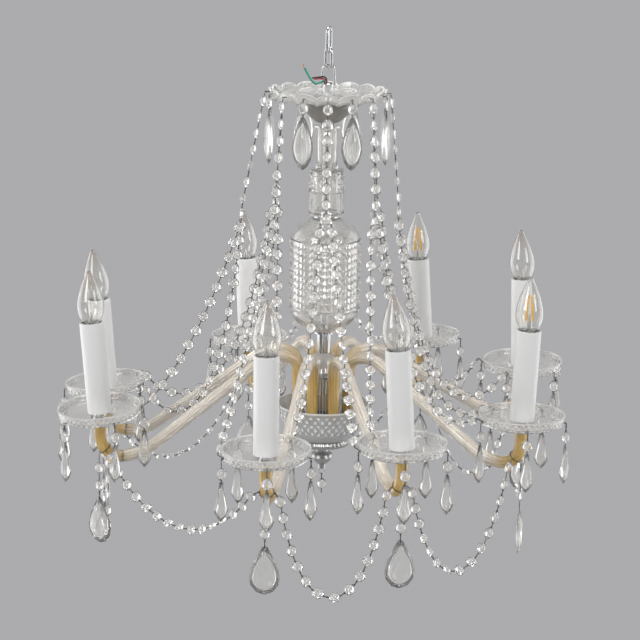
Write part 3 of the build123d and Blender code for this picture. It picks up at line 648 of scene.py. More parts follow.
def cloudiness():
    """Group: a slow variation round a base value, for dust and wear in a finish."""
    if "cloudiness" in bpy.data.node_groups:
        return bpy.data.node_groups["cloudiness"]
    group, inside, outside, noise = noise_group(
        "cloudiness", 4, {"Base": 0.2, "Spread": 0.1, "Scale": 60.0}, "Value", "NodeSocketFloat")
    centred = group.nodes.new("ShaderNodeMath")
    centred.operation = "SUBTRACT"
    centred.inputs[1].default_value = 0.5
    scaled = group.nodes.new("ShaderNodeMath")
    scaled.operation = "MULTIPLY_ADD"
    link = group.links.new
    link(noise.outputs["Fac"], centred.inputs[0])
    link(centred.outputs[0], scaled.inputs[0])
    link(inside.outputs["Spread"], scaled.inputs[1])
    link(inside.outputs["Base"], scaled.inputs[2])
    link(scaled.outputs[0], outside.inputs["Value"])
    return group


def unevenness():
    """Group: a normal rippled by fine noise, for drawn glass, plating and moulded plastic."""
    if "unevenness" in bpy.data.node_groups:
        return bpy.data.node_groups["unevenness"]
    group, inside, outside, noise = noise_group(
        "unevenness", 2, {"Scale": 200.0, "Height": 0.1}, "Normal", "NodeSocketVector")
    bump = group.nodes.new("ShaderNodeBump")
    bump.inputs["Distance"].default_value = 0.001
    link = group.links.new
    link(noise.outputs["Fac"], bump.inputs["Height"])
    link(inside.outputs["Height"], bump.inputs["Strength"])
    link(bump.outputs["Normal"], outside.inputs["Normal"])
    return group


def finish(name, colour, roughness=0.2, spread=0.08, metallic=0.0, glass=0.0, ior=1.5, coat=0.0,
           ripple=0.05, scale=200.0):
    """Principled material whose roughness varies slowly and whose surface ripples finely."""
    if name in bpy.data.materials:
        return bpy.data.materials[name]
    material = bpy.data.materials.new(name)
    material.use_nodes = True
    nodes, link = material.node_tree.nodes, material.node_tree.links.new
    shader = nodes["Principled BSDF"]
    shader.inputs["Base Color"].default_value = (*colour, 1)
    shader.inputs["Metallic"].default_value = metallic
    shader.inputs["Transmission Weight"].default_value = glass
    shader.inputs["IOR"].default_value = ior
    shader.inputs["Coat Weight"].default_value = coat
    varied = nodes.new("ShaderNodeGroup")
    varied.node_tree = cloudiness()
    varied.inputs["Base"].default_value = roughness
    varied.inputs["Spread"].default_value = spread
    link(varied.outputs["Value"], shader.inputs["Roughness"])
    if ripple > 0:
        rippled = nodes.new("ShaderNodeGroup")
        rippled.node_tree = unevenness()
        rippled.inputs["Scale"].default_value = scale
        rippled.inputs["Height"].default_value = ripple
        link(rippled.outputs["Normal"], shader.inputs["Normal"])
    return material


def ramp_on_place(material, stops):
    """Colours a material by the piece's own place attribute, through (place, colour) stops."""
    nodes, link = material.node_tree.nodes, material.node_tree.links.new
    if "place ramp" in nodes:
        return material
    place = nodes.new("ShaderNodeAttribute")
    place.attribute_name = "place"
    ramp = nodes.new("ShaderNodeValToRGB")
    ramp.name = "place ramp"
    while len(ramp.color_ramp.elements) < len(stops):
        ramp.color_ramp.elements.new(0.5)
    for element, (where, colour) in zip(ramp.color_ramp.elements, stops):
        element.position = where
        element.color = (*colour, 1)
    link(place.outputs["Fac"], ramp.inputs["Fac"])
    link(ramp.outputs["Color"], nodes["Principled BSDF"].inputs["Base Color"])
    return material


def crystal(tints):
    return finish("cut crystal", tints.crystal, roughness=0.015, spread=0.01, glass=0.87, ripple=0.0)


def pendant_glass(tints):
    """Glass of the drops on the pans, arms, canopy and finial, with a low index for lighter edges."""
    return finish("pendant glass", tints.crystal, roughness=0.02, spread=0.01, glass=0.86, ior=1.46,
                  ripple=0.0)


def clear_glass(tints):
    return finish("blown glass", tints.crystal, roughness=0.02, spread=0.01, glass=0.88, ior=1.45,
                  ripple=0.02, scale=60)


def moulded_glass(tints):
    """Slightly milky glass of the canopy."""
    return finish("moulded glass", tints.moulded, roughness=0.06, spread=0.05, glass=0.76, scale=90)


def ground_edge_and_rim_highlight(tints):
    """White of the canopy's rim and of the pressed diamonds, and a painted highlight along the receiver
    bowl's rim.
    """
    return finish("ground edge and painted rim highlight", tints.moulded, roughness=0.3, spread=0.1, glass=0.25, ripple=0.1,
                  scale=300)


def pin_metal(tints):
    return finish("pin wire", tints.pin, roughness=0.3, spread=0.15, metallic=1.0)


def chrome(tints):
    return finish("chrome plate", tints.chrome, roughness=0.08, spread=0.06, metallic=1.0, ripple=0.02)


# ------------------------------------------------------------------ properties
class CHANDELIER_PG_sizes(bpy.types.PropertyGroup):
    """Sizes of the parts that repeat."""

    bead_radius: FloatProperty(name="Bead radius", description="Half the width of an octagon bead",
                               default=0.0074, unit="LENGTH")
    bead_thickness: FloatProperty(name="Bead thickness", description="Thickness over the tables",
                                  default=0.0064, unit="LENGTH")
    pin_width: FloatProperty(name="Pin width", description="Width of a wire pin at its widest",
                             default=0.0011, unit="LENGTH")
    petals: IntProperty(name="Canopy petals", description="Scallops round the canopy dish", default=16)
    petal_depth: FloatProperty(name="Petal depth", description="How far the rim dips between petals",
                               default=0.0058, unit="LENGTH")
    arm_ribs: IntProperty(name="Arm ribs", description="Ribs round a glass arm", default=8)
    cut_columns: IntProperty(name="Vase cuts around", description="Pyramids in one row of the vase",
                             default=32)
    cut_rows: IntProperty(name="Vase cut rows", description="Rows of pyramids up the vase", default=10)
    cut_depth: FloatProperty(name="Cut depth", description="Height of the vase's pyramids",
                             default=0.0038, unit="LENGTH")
    pan_crosses: IntProperty(name="Pan crosses", description="Crossed cuts round the wall of a drip pan",
                             default=44)


class CHANDELIER_PG_tints(bpy.types.PropertyGroup):
    """Colours of the finishes."""

    crystal: FloatVectorProperty(name="Crystal", description="Tint of clear glass and crystal",
                                 default=(0.985, 0.975, 0.955), subtype="COLOR")
    moulded: FloatVectorProperty(name="Moulded glass", description="Milky glass, edges ground white, and the painted highlight on the bowl's rim",
                                 default=(0.95, 0.945, 0.92), subtype="COLOR")
    bell: FloatVectorProperty(name="Bell glass", description="Grey glass of the bell under the canopy, darkened to grey-brown as painted shade of its inside",
                              default=(0.42, 0.4, 0.36), subtype="COLOR")
    cream: FloatVectorProperty(name="Arm cream", description="Lining of the arms between their ends",
                               default=(0.93, 0.86, 0.76), subtype="COLOR")
    gold: FloatVectorProperty(name="Arm gold", description="Lining of the arms at their ends",
                              default=(0.83, 0.58, 0.2), subtype="COLOR")
    sleeve: FloatVectorProperty(name="Candle tube", description="White of the candle tubes",
                                default=(0.87, 0.87, 0.86), subtype="COLOR")
    pressed: FloatVectorProperty(name="Pressed glass", description="Greyish glass of the receiver bowl",
                                 default=(0.76, 0.765, 0.755), subtype="COLOR")
    chrome: FloatVectorProperty(name="Chrome", description="Bright plate of the column",
                                default=(0.78, 0.79, 0.8), subtype="COLOR")
    pin: FloatVectorProperty(name="Pins", description="Wire pins and hooks",
                             default=(0.13, 0.13, 0.125), subtype="COLOR")
    earth: FloatVectorProperty(name="Earth wire", description="Green insulation",
                               default=(0.03, 0.3, 0.2), subtype="COLOR")
    live: FloatVectorProperty(name="Live wire", description="Red insulation",
                              default=(0.32, 0.03, 0.03), subtype="COLOR")
    tip: FloatVectorProperty(name="Bulb tip", description="Colour that the glass of the filament bulbs turns towards the tip",
                             default=(0.88, 0.83, 0.79), subtype="COLOR")
    filament: FloatVectorProperty(name="Filament", description="Coating of the LED filaments",
                                  default=(0.98, 0.6, 0.13), subtype="COLOR")
    backdrop: FloatVectorProperty(name="Backdrop", description="Studio grey behind the chandelier",
                                  default=(0.402, 0.402, 0.412), subtype="COLOR")


# ------------------------------------------------------------------ operators
class CHANDELIER_OT_stage(bpy.types.Operator):
    """Floor, grey backdrop, soft boxes and the camera of the photograph's view."""

    bl_idname = "chandelier.stage"
    bl_label = "Studio"

    def execute(self, context):
        tints = context.scene.chandelier_tints
        wall = self.plane("backdrop", (0, 2.6, -0.5), (3.6, 3.0), (math.radians(90), 0, 0))
        floor = self.plane("floor", (0, 0, -1.95), (9, 9), (0, 0, 0))
        wall.data.materials.append(self.paint("backdrop paint", tints.backdrop, tints.backdrop))
        floor.data.materials.append(self.paint("floor paint", tints.backdrop, FLOOR_WHITE))
        for soft_box in SOFT_BOXES:
            self.soft_box(*soft_box)
        self.world(context, tints.backdrop)
        context.scene.view_settings.view_transform = "Standard"
        self.camera(context)
        return {"FINISHED"}

    def plane(self, name, place, size, turn):
        mesh = bpy.data.meshes.new(name)
        w, h = size[0] / 2, size[1] / 2
        mesh.from_pydata([(-w, -h, 0), (w, -h, 0), (w, h, 0), (-w, h, 0)], [], [(0, 1, 2, 3)])
        sheet = add_object(name, mesh)
        sheet.location, sheet.rotation_euler = place, turn
        return sheet

    def world(self, context, seen):
        """Dim surroundings, lighter through glass, which the camera sees in the backdrop's grey."""
        world = bpy.data.worlds.new("studio")
        world.use_nodes = True
        nodes, link = world.node_tree.nodes, world.node_tree.links.new
        paths = nodes.new("ShaderNodeLightPath")
        mix = nodes.new("ShaderNodeMix")
        mix.data_type = "RGBA"
        mix.inputs["B"].default_value = (*seen, 1)
        through_glass = nodes.new("ShaderNodeMix")
        through_glass.data_type = "RGBA"
        through_glass.inputs["A"].default_value = WORLD_DIM
        through_glass.inputs["B"].default_value = WORLD_THROUGH_GLASS
        link(paths.outputs["Is Transmission Ray"], through_glass.inputs["Factor"])
        link(through_glass.outputs["Result"], mix.inputs["A"])
        link(paths.outputs["Is Camera Ray"], mix.inputs["Factor"])
        link(mix.outputs["Result"], nodes["Background"].inputs["Color"])
        context.scene.world = world

    def paint(self, name, seen, colour):
        """Paint of one colour that the camera, metal and glass see in another; clear from behind."""
        material = bpy.data.materials.new(name)
        material.use_nodes = True
        nodes, link = material.node_tree.nodes, material.node_tree.links.new
        nodes["Principled BSDF"].inputs["Base Color"].default_value = (*colour, 1)
        nodes["Principled BSDF"].inputs["Roughness"].default_value = 0.9
        glow = nodes.new("ShaderNodeEmission")
        glow.inputs["Color"].default_value = (*seen, 1)
        glow.inputs["Strength"].default_value = BACKDROP_GLOW
        paths = nodes.new("ShaderNodeLightPath")
        seen_rays = paths.outputs["Is Camera Ray"]
        for kind in ("Is Glossy Ray", "Is Transmission Ray"):
            either = nodes.new("ShaderNodeMath")
            either.operation = "MAXIMUM"
            link(seen_rays, either.inputs[0])
            link(paths.outputs[kind], either.inputs[1])
            seen_rays = either.outputs[0]
        mix = nodes.new("ShaderNodeMixShader")
        link(seen_rays, mix.inputs["Fac"])
        link(nodes["Principled BSDF"].outputs[0], mix.inputs[1])
        link(glow.outputs[0], mix.inputs[2])
        behind = nodes.new("ShaderNodeMixShader")
        link(nodes.new("ShaderNodeNewGeometry").outputs["Backfacing"], behind.inputs["Fac"])
        link(mix.outputs[0], behind.inputs[1])
        link(nodes.new("ShaderNodeBsdfTransparent").outputs[0], behind.inputs[2])
        link(behind.outputs[0], nodes["Material Output"].inputs["Surface"])
        return material

    def soft_box(self, name, place, size, power):
        """Area light aimed at the middle of the stage."""
        light = bpy.data.lights.new(name, "AREA")
        light.shape = "RECTANGLE"
        light.size, light.size_y, light.energy = *size, power
        lamp = add_object(name, light)
        lamp.visible_camera = False
        back = unit(np.array(place) - np.array(STAGE_MIDDLE))
        right = unit(np.cross(UP + 1e-4, back))
        turn = np.stack([right, np.cross(back, right), back], 1)
        lamp.matrix_world = Matrix.Translation(place) @ Matrix(turn.tolist()).to_4x4()

    def camera(self, context):
        """Camera aimed at the middle of the pan rims, rolled so that uprights lean as in the photo."""
        elevation, roll = math.radians(CAMERA_ELEVATION), math.radians(CAMERA_ROLL)
        back = np.array([0, -math.cos(elevation), math.sin(elevation)])
        right, up = np.array([1.0, 0, 0]), np.array([0, math.sin(elevation), math.cos(elevation)])
        rolled = np.stack([right * math.cos(roll) + up * math.sin(roll),
                           up * math.cos(roll) - right * math.sin(roll), back], 1)
        data = bpy.data.cameras.new("camera")
        data.sensor_width = SENSOR_WIDTH
        data.lens = CAMERA_FOCAL / PICTURE_SIDE * data.sensor_width
        data.shift_x = (PICTURE_SIDE / 2 - CAMERA_CENTRE[0]) / PICTURE_SIDE
        data.shift_y = (CAMERA_CENTRE[1] - PICTURE_SIDE / 2) / PICTURE_SIDE
        camera = add_object("camera", data)
        place = back * CAMERA_DISTANCE - UP * HOOK_LEVEL / 1000
        camera.matrix_world = Matrix.Translation(place.tolist()) @ Matrix(rolled.tolist()).to_4x4()
        context.scene.camera = camera


class CHANDELIER_OT_supply_wires(bpy.types.Operator):
    """Green, black and red supply wires that rise out of the coupler, with a bare copper tip on the
    green one.
    """

    bl_idname = "chandelier.supply_wires"
    bl_label = "Supply wires"

    def execute(self, context):
        tints = context.scene.chandelier_tints
        black = finish("black insulation", (0.012, 0.012, 0.013), 0.35, coat=0.1)
        green = finish("green insulation", tints.earth, 0.3, coat=0.15)
        red = finish("red insulation", tints.live, 0.35, coat=0.1)
        copper = finish("bare copper", (0.7, 0.34, 0.2), 0.25, spread=0.1, metallic=1.0)
        strand = np.linspace(EARTH_ROUTE[-1], EARTH_TIP, 4)
        tip = add_piece("earth_copper_tip", swept(strand, 0.8, 12), copper, "chandelier", (),
                        smooth=40)
        self.wire("earth_lead", EARTH_ROUTE, EARTH_WIRE, green, "earth_wire", "earth_green", [tip])
        self.wire("neutral_lead", NEUTRAL_ROUTE, CORE_WIRE, black, "neutral_wire", "neutral_black")
        self.wire("live_lead", LIVE_ROUTE, CORE_WIRE, red, "live_wire", "live_red")
        return {"FINISHED"}

    def wire(self, name, route, diameter, material, node, slot, ends=()):
        """Smooth NURBS line on the route's points, as thick as the wire."""
        curve = bpy.data.curves.new(name, "CURVE")
        curve.dimensions = "3D"
        curve.bevel_depth = diameter / 2000
        curve.bevel_resolution = 5
        curve.use_fill_caps = True
        curve.resolution_u = 16
        line = curve.splines.new("NURBS")
        line.points.add(len(route) - 1)
        points = (np.array(route) - UP * HOOK_LEVEL) / 1000
        line.points.foreach_set("co", np.column_stack([points, np.ones(len(route))]).ravel())
        line.order_u = 3
        line.use_endpoint_u = True
        curve.materials.append(material)
        lead = add_object(name, curve)
        length = self.length_of(lead)
        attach(lead, "chandelier")
        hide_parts(node)

    def length_of(self, lead):
        """Length of the wire's own smooth line, read with its thickness off."""
        thick = lead.data.bevel_depth
        lead.data.bevel_depth = 0
        line = bpy.data.meshes.new_from_object(lead)
        lead.data.bevel_depth = thick
        points = np.zeros(len(line.vertices) * 3)
        line.vertices.foreach_get("co", points)
        bpy.data.meshes.remove(line)
        return float(np.linalg.norm(np.diff(points.reshape(-1, 3), axis=0), axis=1).sum())


class CHANDELIER_OT_hanging(bpy.types.Operator):
    """Steel for the chain links and bail; chrome for the coupler, rod, washers, tubes and arm plate."""

    bl_idname = "chandelier.hanging"
    bl_label = "Chain and coupler"

    def execute(self, context):
        tints = context.scene.chandelier_tints
        steel = finish("plated steel", (0.66, 0.67, 0.67), roughness=0.22, spread=0.12, metallic=1.0,
                       ripple=0.1)
        dress(steel, "upper_chain_link", "lower_chain_link", "hanging_bail")
        dress(chrome(tints), "top_coupler", "centre_rod", "column_washers", "column_tubes", "arm_plate")
        return {"FINISHED"}


class CHANDELIER_OT_canopy(bpy.types.Operator):
    """Petalled canopy dish and the bell under it."""

    bl_idname = "chandelier.canopy"
    bl_label = "Canopy"

    def execute(self, context):
        sizes, tints = settings(context)
        count, depth = sizes.petals, sizes.petal_depth * 1000

        def petals(r, z, t):
            """Petals rise and swell by the absolute cosine of their place, more towards the rim."""
            share = np.clip((r - 40) / 36.5, 0, 1) ** 2
            lobe = np.abs(np.cos(t * count / 2)) ** 0.6
            return r - share * (1 - lobe) * 2.5, z - share * (1 - lobe) * depth

        upper = through([(12, 380.4), (40, 380.4), (63, 380.6), (70.5, 383), (73.5, 390)], 7)
        under = through([(76.3, 390), (73.7, 381.3), (66, 377.7), (40, 377.6), (12, 377.6)], 7)
        hub = [(5.6, 377.6), (5.6, 385), (8, 385), (8, 380.8)]
        profile = np.concatenate([hub, upper, [(75.2, 390.4)], under])[::-1]
        dish = revolved(profile, 256, petals)
        rim = np.repeat(profile[:, 1] > 389.5, 256)
        add_piece("canopy_glass", dish, moulded_glass(tints), "chandelier", ["canopy_dish"],
                  smooth=40, second=(ground_edge_and_rim_highlight(tints), rim))
        outside = through([(8, 343.2), (9, 347), (15.5, 347.6), (25, 355.1), (33, 366.1),
                           (36.3, 377)], 6)
        inside = through([(33.5, 377), (30.7, 368), (23.2, 358.2), (14.5, 351.2), (5.6, 351.1)], 6)
        bell = revolved(np.concatenate([[(5.6, 343.2)], outside, inside]), 72, self.flutes)
        # The bell's grey glass is darkened to grey-brown as painted shade of its inside.
        shaded_bell_glass = finish("bell glass with painted shade", tints.bell, roughness=0.07, spread=0.04, glass=0.45, ripple=0.03,
                       scale=60)
        add_piece("canopy_bell_glass", bell, shaded_bell_glass, "chandelier", ["canopy_bell"],
                  smooth=40)
        return {"FINISHED"}

    def flutes(self, r, z, t):
        """Shallow flutes: the radius falls by a raised cosine of twelve lobes."""
        return r * (1 - 0.02 * (1 - np.abs(np.cos(6 * t)))), z


class CHANDELIER_OT_column(bpy.types.Operator):
    """Stem tube, cut cup, cut vase, its foot and the knob."""

    bl_idname = "chandelier.column"
    bl_label = "Column"

    def execute(self, context):
        sizes, tints = settings(context)
        glass, cut = clear_glass(tints), crystal(tints)
        stem = revolved(np.concatenate([
            through([(14.3, 287.9), (14.3, 291), (13.3, 296), (13.3, 331), (14.3, 337),
                     (14.3, 340.7)], 5),
            through([(5.6, 340.7), (5.6, 337.2), (10.5, 337), (10.5, 291.7), (5.6, 291.5),
                     (5.6, 287.9)], 3)]), 64)
        add_piece("stem_glass", stem, glass, "chandelier", ["stem_tube"], smooth=40)
        add_piece("cut_cup_glass", self.cup(), cut, "chandelier", ["cut_cup"], smooth=12)
        add_piece("vase_glass", self.vase(sizes), cut, "chandelier", ["vase"], smooth=12)
        foot = revolved(np.concatenate([
            through([(13, 72.1), (24, 76.5), (36, 85.5), (43, 95), (44.4, 102.1)], 6),
            through([(41.2, 102.1), (39.5, 96), (33, 88.5), (22.5, 80.7), (12.5, 76.3), (5.6, 76.2)], 5),
            [(5.6, 72.1)]]), 96)
        add_piece("vase_foot_glass", foot, glass, "chandelier", ["vase_foot"], smooth=40)
        bright = finish("cut knob", tints.crystal, roughness=0.03, spread=0.02, glass=0.66, ior=1.6,
                        ripple=0.0)
        add_piece("knob_glass", self.knob(), bright, "chandelier", ["lower_knob"])
        return {"FINISHED"}

    def vase(self, sizes):
        """Rows of pyramids between a plain rim and a smooth shoulder."""
        shoulder = through([(44, 197), (43, 202), (39.5, 208), (33, 214), (25, 219.5), (17, 223.8)], 3)
        inside = through([(16.5, 218.7), (28, 212.2), (35, 206.2), (39.6, 199.2), (41.1, 191)], 3)
        rest = np.concatenate([[(46.4, 195.4)], shoulder, [(5.6, 223.8), (5.6, 218.7)], inside,
                               [(41.1, 150), (41.1, 102.8), (45.3, 102.8), (46.6, 104.2)]])
        return pyramid_wall(VASE_BAND, (VASE_R - 0.1, VASE_R - 0.1), sizes.cut_depth * 1000,
                            sizes.cut_columns, sizes.cut_rows, rest)

    def cup(self):
        """Small pyramids round the upper half, and a clear straight wall below them."""
        rest = [(22.6, 286), (20.5, 287.2), (5.6, 287.2), (5.6, 283.4), (18.3, 283.2), (18.7, 232.2),
                (5.6, 231.2), (5.6, 226.6), (21.4, 226.6), (23.2, 229.2), (23.2, 240), (23.2, 255.8),
                (23.9, 257.4)]
        return pyramid_wall(CUP_BAND, (24.1, 22.8), 1.9, 18, 4, rest)

    def knob(self):
        """Ball of flat facets, with its rows turned half a step from one another."""
        rows = [(9, 9.7), (9.3, 13), (13.2, 16), (17, 20), (18.6, 25), (18.7, 30), (17.6, 35),
                (14.2, 39.8), (9.5, 43.3)]
        return stacked(np.concatenate([turned_rings([row], KNOB_COLUMNS, k % 2 == 1)
                                       for k, row in enumerate(rows)]))


class CHANDELIER_OT_receiver(bpy.types.Operator):
    """Pressed glass bowl, ribbed base plate and finial."""

    bl_idname = "chandelier.receiver"
    bl_label = "Receiver bowl"

    def execute(self, context):
        tints = context.scene.chandelier_tints
        pressed = finish("pressed glass", tints.pressed, roughness=0.12, spread=0.2, glass=0.6,
                         coat=0.3, ripple=0.8)
        nickel = finish("worn nickel", (0.5, 0.5, 0.49), roughness=0.25, spread=0.2, metallic=1.0,
                        ripple=0.15)

        def panels(r, z, t):
            """Dents between the pressed diamonds, on a band of the outside."""
            outer = (z < -29) & (z > -60) & (r > 58.8 + (z + 36) * 0.35 - 3.2)
            return r - np.where(outer, 1.5 * (1 - self.diamonds(z, t)), 0), z

        outside = through([(40, -69.8), (47.4, -62), (53.8, -49), (58.8, -36), (61.8, -25)], 6)
        inside = through([(58.9, -25), (55.8, -36), (50.6, -48), (44.5, -60), (38.5, -66.2)], 6)
        bowl = np.concatenate([[(5.6, -69.8)], outside, [(60.4, -24.7)], inside, [(5.6, -66.2)]])
        row, level, turn = face_middles(bowl, BOWL_SIDES)
        on_diamond = (level < -30) & (level > -58) & (self.diamonds(level, turn) > CUT_WHITE)
        # Faces of the outside above -26.5 mm take the white as a painted highlight along the bowl's rim;
        # the diamonds take it as their own white.
        white = (row > 0) & (row <= len(outside)) & (on_diamond | (level > -26.5))
        add_piece("receiver_glass", revolved(bowl, BOWL_SIDES, panels), pressed, "chandelier",
                  ["receiver_bowl"], smooth=35, second=(ground_edge_and_rim_highlight(tints), white))

        def gadroons(r, z, t):
            """Lobes round the plate's edge, deepest at its widest."""
            share = np.clip((r - 30) / 8.5, 0, 1)
            return r - share * 1.6 * (1 - np.abs(np.sin(18 * t))), z

        edge = through([(30, -81.8), (35.5, -80.6), (38.3, -77), (37.4, -73.6), (35.5, -70.6)], 5)
        plate = np.concatenate([[(5.6, -81.8)], edge, [(5.6, -70.6)]])
        add_piece("base_plate_metal", revolved(plate, 216, gadroons), nickel, "chandelier",
                  ["base_plate"], smooth=40)
        dress(nickel, "finial")
        return {"FINISHED"}

    def diamonds(self, level, turn):
        """Product of two slanted families of lobes: one in the middle of a diamond, zero between."""
        slant = level / 4
        return (np.abs(np.cos(DIAMOND_LOBES * turn + slant))
                * np.abs(np.cos(DIAMOND_LOBES * turn - slant)))


class CHANDELIER_OT_arms(bpy.types.Operator):
    """Ribbed glass arms over a cream and gold lining, with chrome collars at their ends."""

    bl_idname = "chandelier.arms"
    bl_label = "Arms"

    def execute(self, context):
        sizes, tints = settings(context)
        glass = finish("arm glass", (0.98, 0.96, 0.93), roughness=0.03, spread=0.02, glass=1.0, ior=1.45,
                       ripple=0.03, scale=80)
        lining = finish("arm lining", tints.cream, roughness=0.35, spread=0.12, metallic=0.1,
                        ripple=0.06)
        gold, cream = tuple(tints.gold), tuple(tints.cream)
        pale = tuple(0.3 + 0.7 * c for c in cream)
        ramp_on_place(lining, [(0.0, gold), (0.17, gold), (0.27, cream), (0.55, pale), (0.8, cream),
                               (0.89, gold), (1.0, gold)])
        ribs = sizes.arm_ribs

        def ribbed(a, p):
            """Ribs that wind slowly along the arm, by a raised cosine."""
            return 1 - 0.045 * (1 - np.cos(ribs * a + p / 60)) / 2

        def folded(a, p):
            """Sharp folds along the lining, by the absolute sine."""
            return 1 - 0.16 * np.abs(np.sin(5 * a + p / 45))

        collar = revolved([(8.15, -25.5), (8.9, -25.5), (9.3, -24.3), (9.3, -19.4), (8.6, -17.6),
                           (8.6, -16.3), (4.8, -16.3), (4.8, -19.2), (8.15, -19.2)], 40)
        collars = []
        for i in range(ARM_COUNT):
            path = arm_path(i)
            add_piece(f"arm_glass_{i + 1}", swept(path, ARM_R - 0.1, ARM_SIDES, ribbed), glass,
                      "chandelier", [f"arm_{i + 1}"], smooth=60)
            place = np.repeat(np.linspace(0, 1, len(path)), LINER_SIDES)
            add_piece(f"arm_lining_{i + 1}", swept(path, LINER_R, LINER_SIDES, folded), lining,
                      "chandelier", ["arm_liners"] if i == 0 else (), smooth=50,
                      attribute=place)
            collars.append(moved(collar, lambda v: v + candle_foot(i) + UP * ARM_LIFT[i]))
        add_piece("arm_collars", joined(collars), chrome(tints), "chandelier", (), smooth=40)
        return {"FINISHED"}


class CHANDELIER_OT_pans(bpy.types.Operator):
    """Drip pans with a cut pattern round the wall and a bright rim."""

    bl_idname = "chandelier.pans"
    bl_label = "Drip pans"

    def execute(self, context):
        sizes, tints = settings(context)
        clear = finish("pan glass", (0.975, 0.962, 0.945), roughness=0.05, spread=0.04, glass=0.88,
                       ior=1.45, ripple=0.04, scale=70)
        lines = finish("cut lines", tints.moulded, roughness=0.25, spread=0.1, glass=0.55, ior=1.45,
                       ripple=0.1, scale=300)
        crosses = sizes.pan_crosses
        sides = 8 * crosses
        wall = np.stack([np.linspace(53.0, 54.2, 13), np.linspace(-11.4, -1.6, 13)], 1)
        foot = through([(7.8, -15.5), (30, -15.1), (47, -13.9), (52.4, -12)], 4)
        floor = through([(50.9, -3), (50.5, -6.2), (48.6, -9.4), (44, -10.9), (30, -11.6),
                         (7.8, -11.9)], 4)
        rim = [(54.4, -1.3), (54.3, -0.3), (53.4, 0), (51.9, -0.1), (51.4, -1), (51.3, -1.6)]
        profile = np.concatenate([foot, wall, rim, floor])

        def cut_wall(r, z, t):
            """Dents along the cut lines of the wall."""
            cut = (r > 52.5) & (z < -1.5) & (z > -11.5)
            return r - np.where(cut, 0.5 * self.cuts(z, t, crosses), 0), z

        pan = revolved(profile, sides, cut_wall)
        row, level, turn = face_middles(profile, sides)
        rim_start = len(foot) + len(wall) - 1
        white = (row >= len(foot)) & (row < rim_start) & (self.cuts(level, turn, crosses) > CUT_WHITE)
        white |= (row >= rim_start) & (row < rim_start + len(rim))
        for i in range(ARM_COUNT):
            shape = moved(pan, lambda v, i=i: leaning(v, i, PAN_LEAN[i], PAN_NOD[i]))
            add_piece(f"pan_glass_{i + 1}", shape, clear, "chandelier",
                      ["bobeches"] if i == 0 else (), smooth=30, second=(lines, white))
        return {"FINISHED"}

    def cuts(self, level, turn, crosses):
        """Nearness to two families of slanted lines, which cross once in each cell of the wall: one
        where turn plus or minus level, both counted in cells, is whole, and zero well away from it."""
        along = turn * crosses / (2 * np.pi)
        up = (level - PAN_WALL_FOOT) / PAN_WALL_HEIGHT
        near = [1 - 2 * np.abs((along + way * up) % 1 - 0.5) for way in (1, -1)]
        return np.clip(np.maximum(*near) * 2.2 - 1.2, 0, 1)


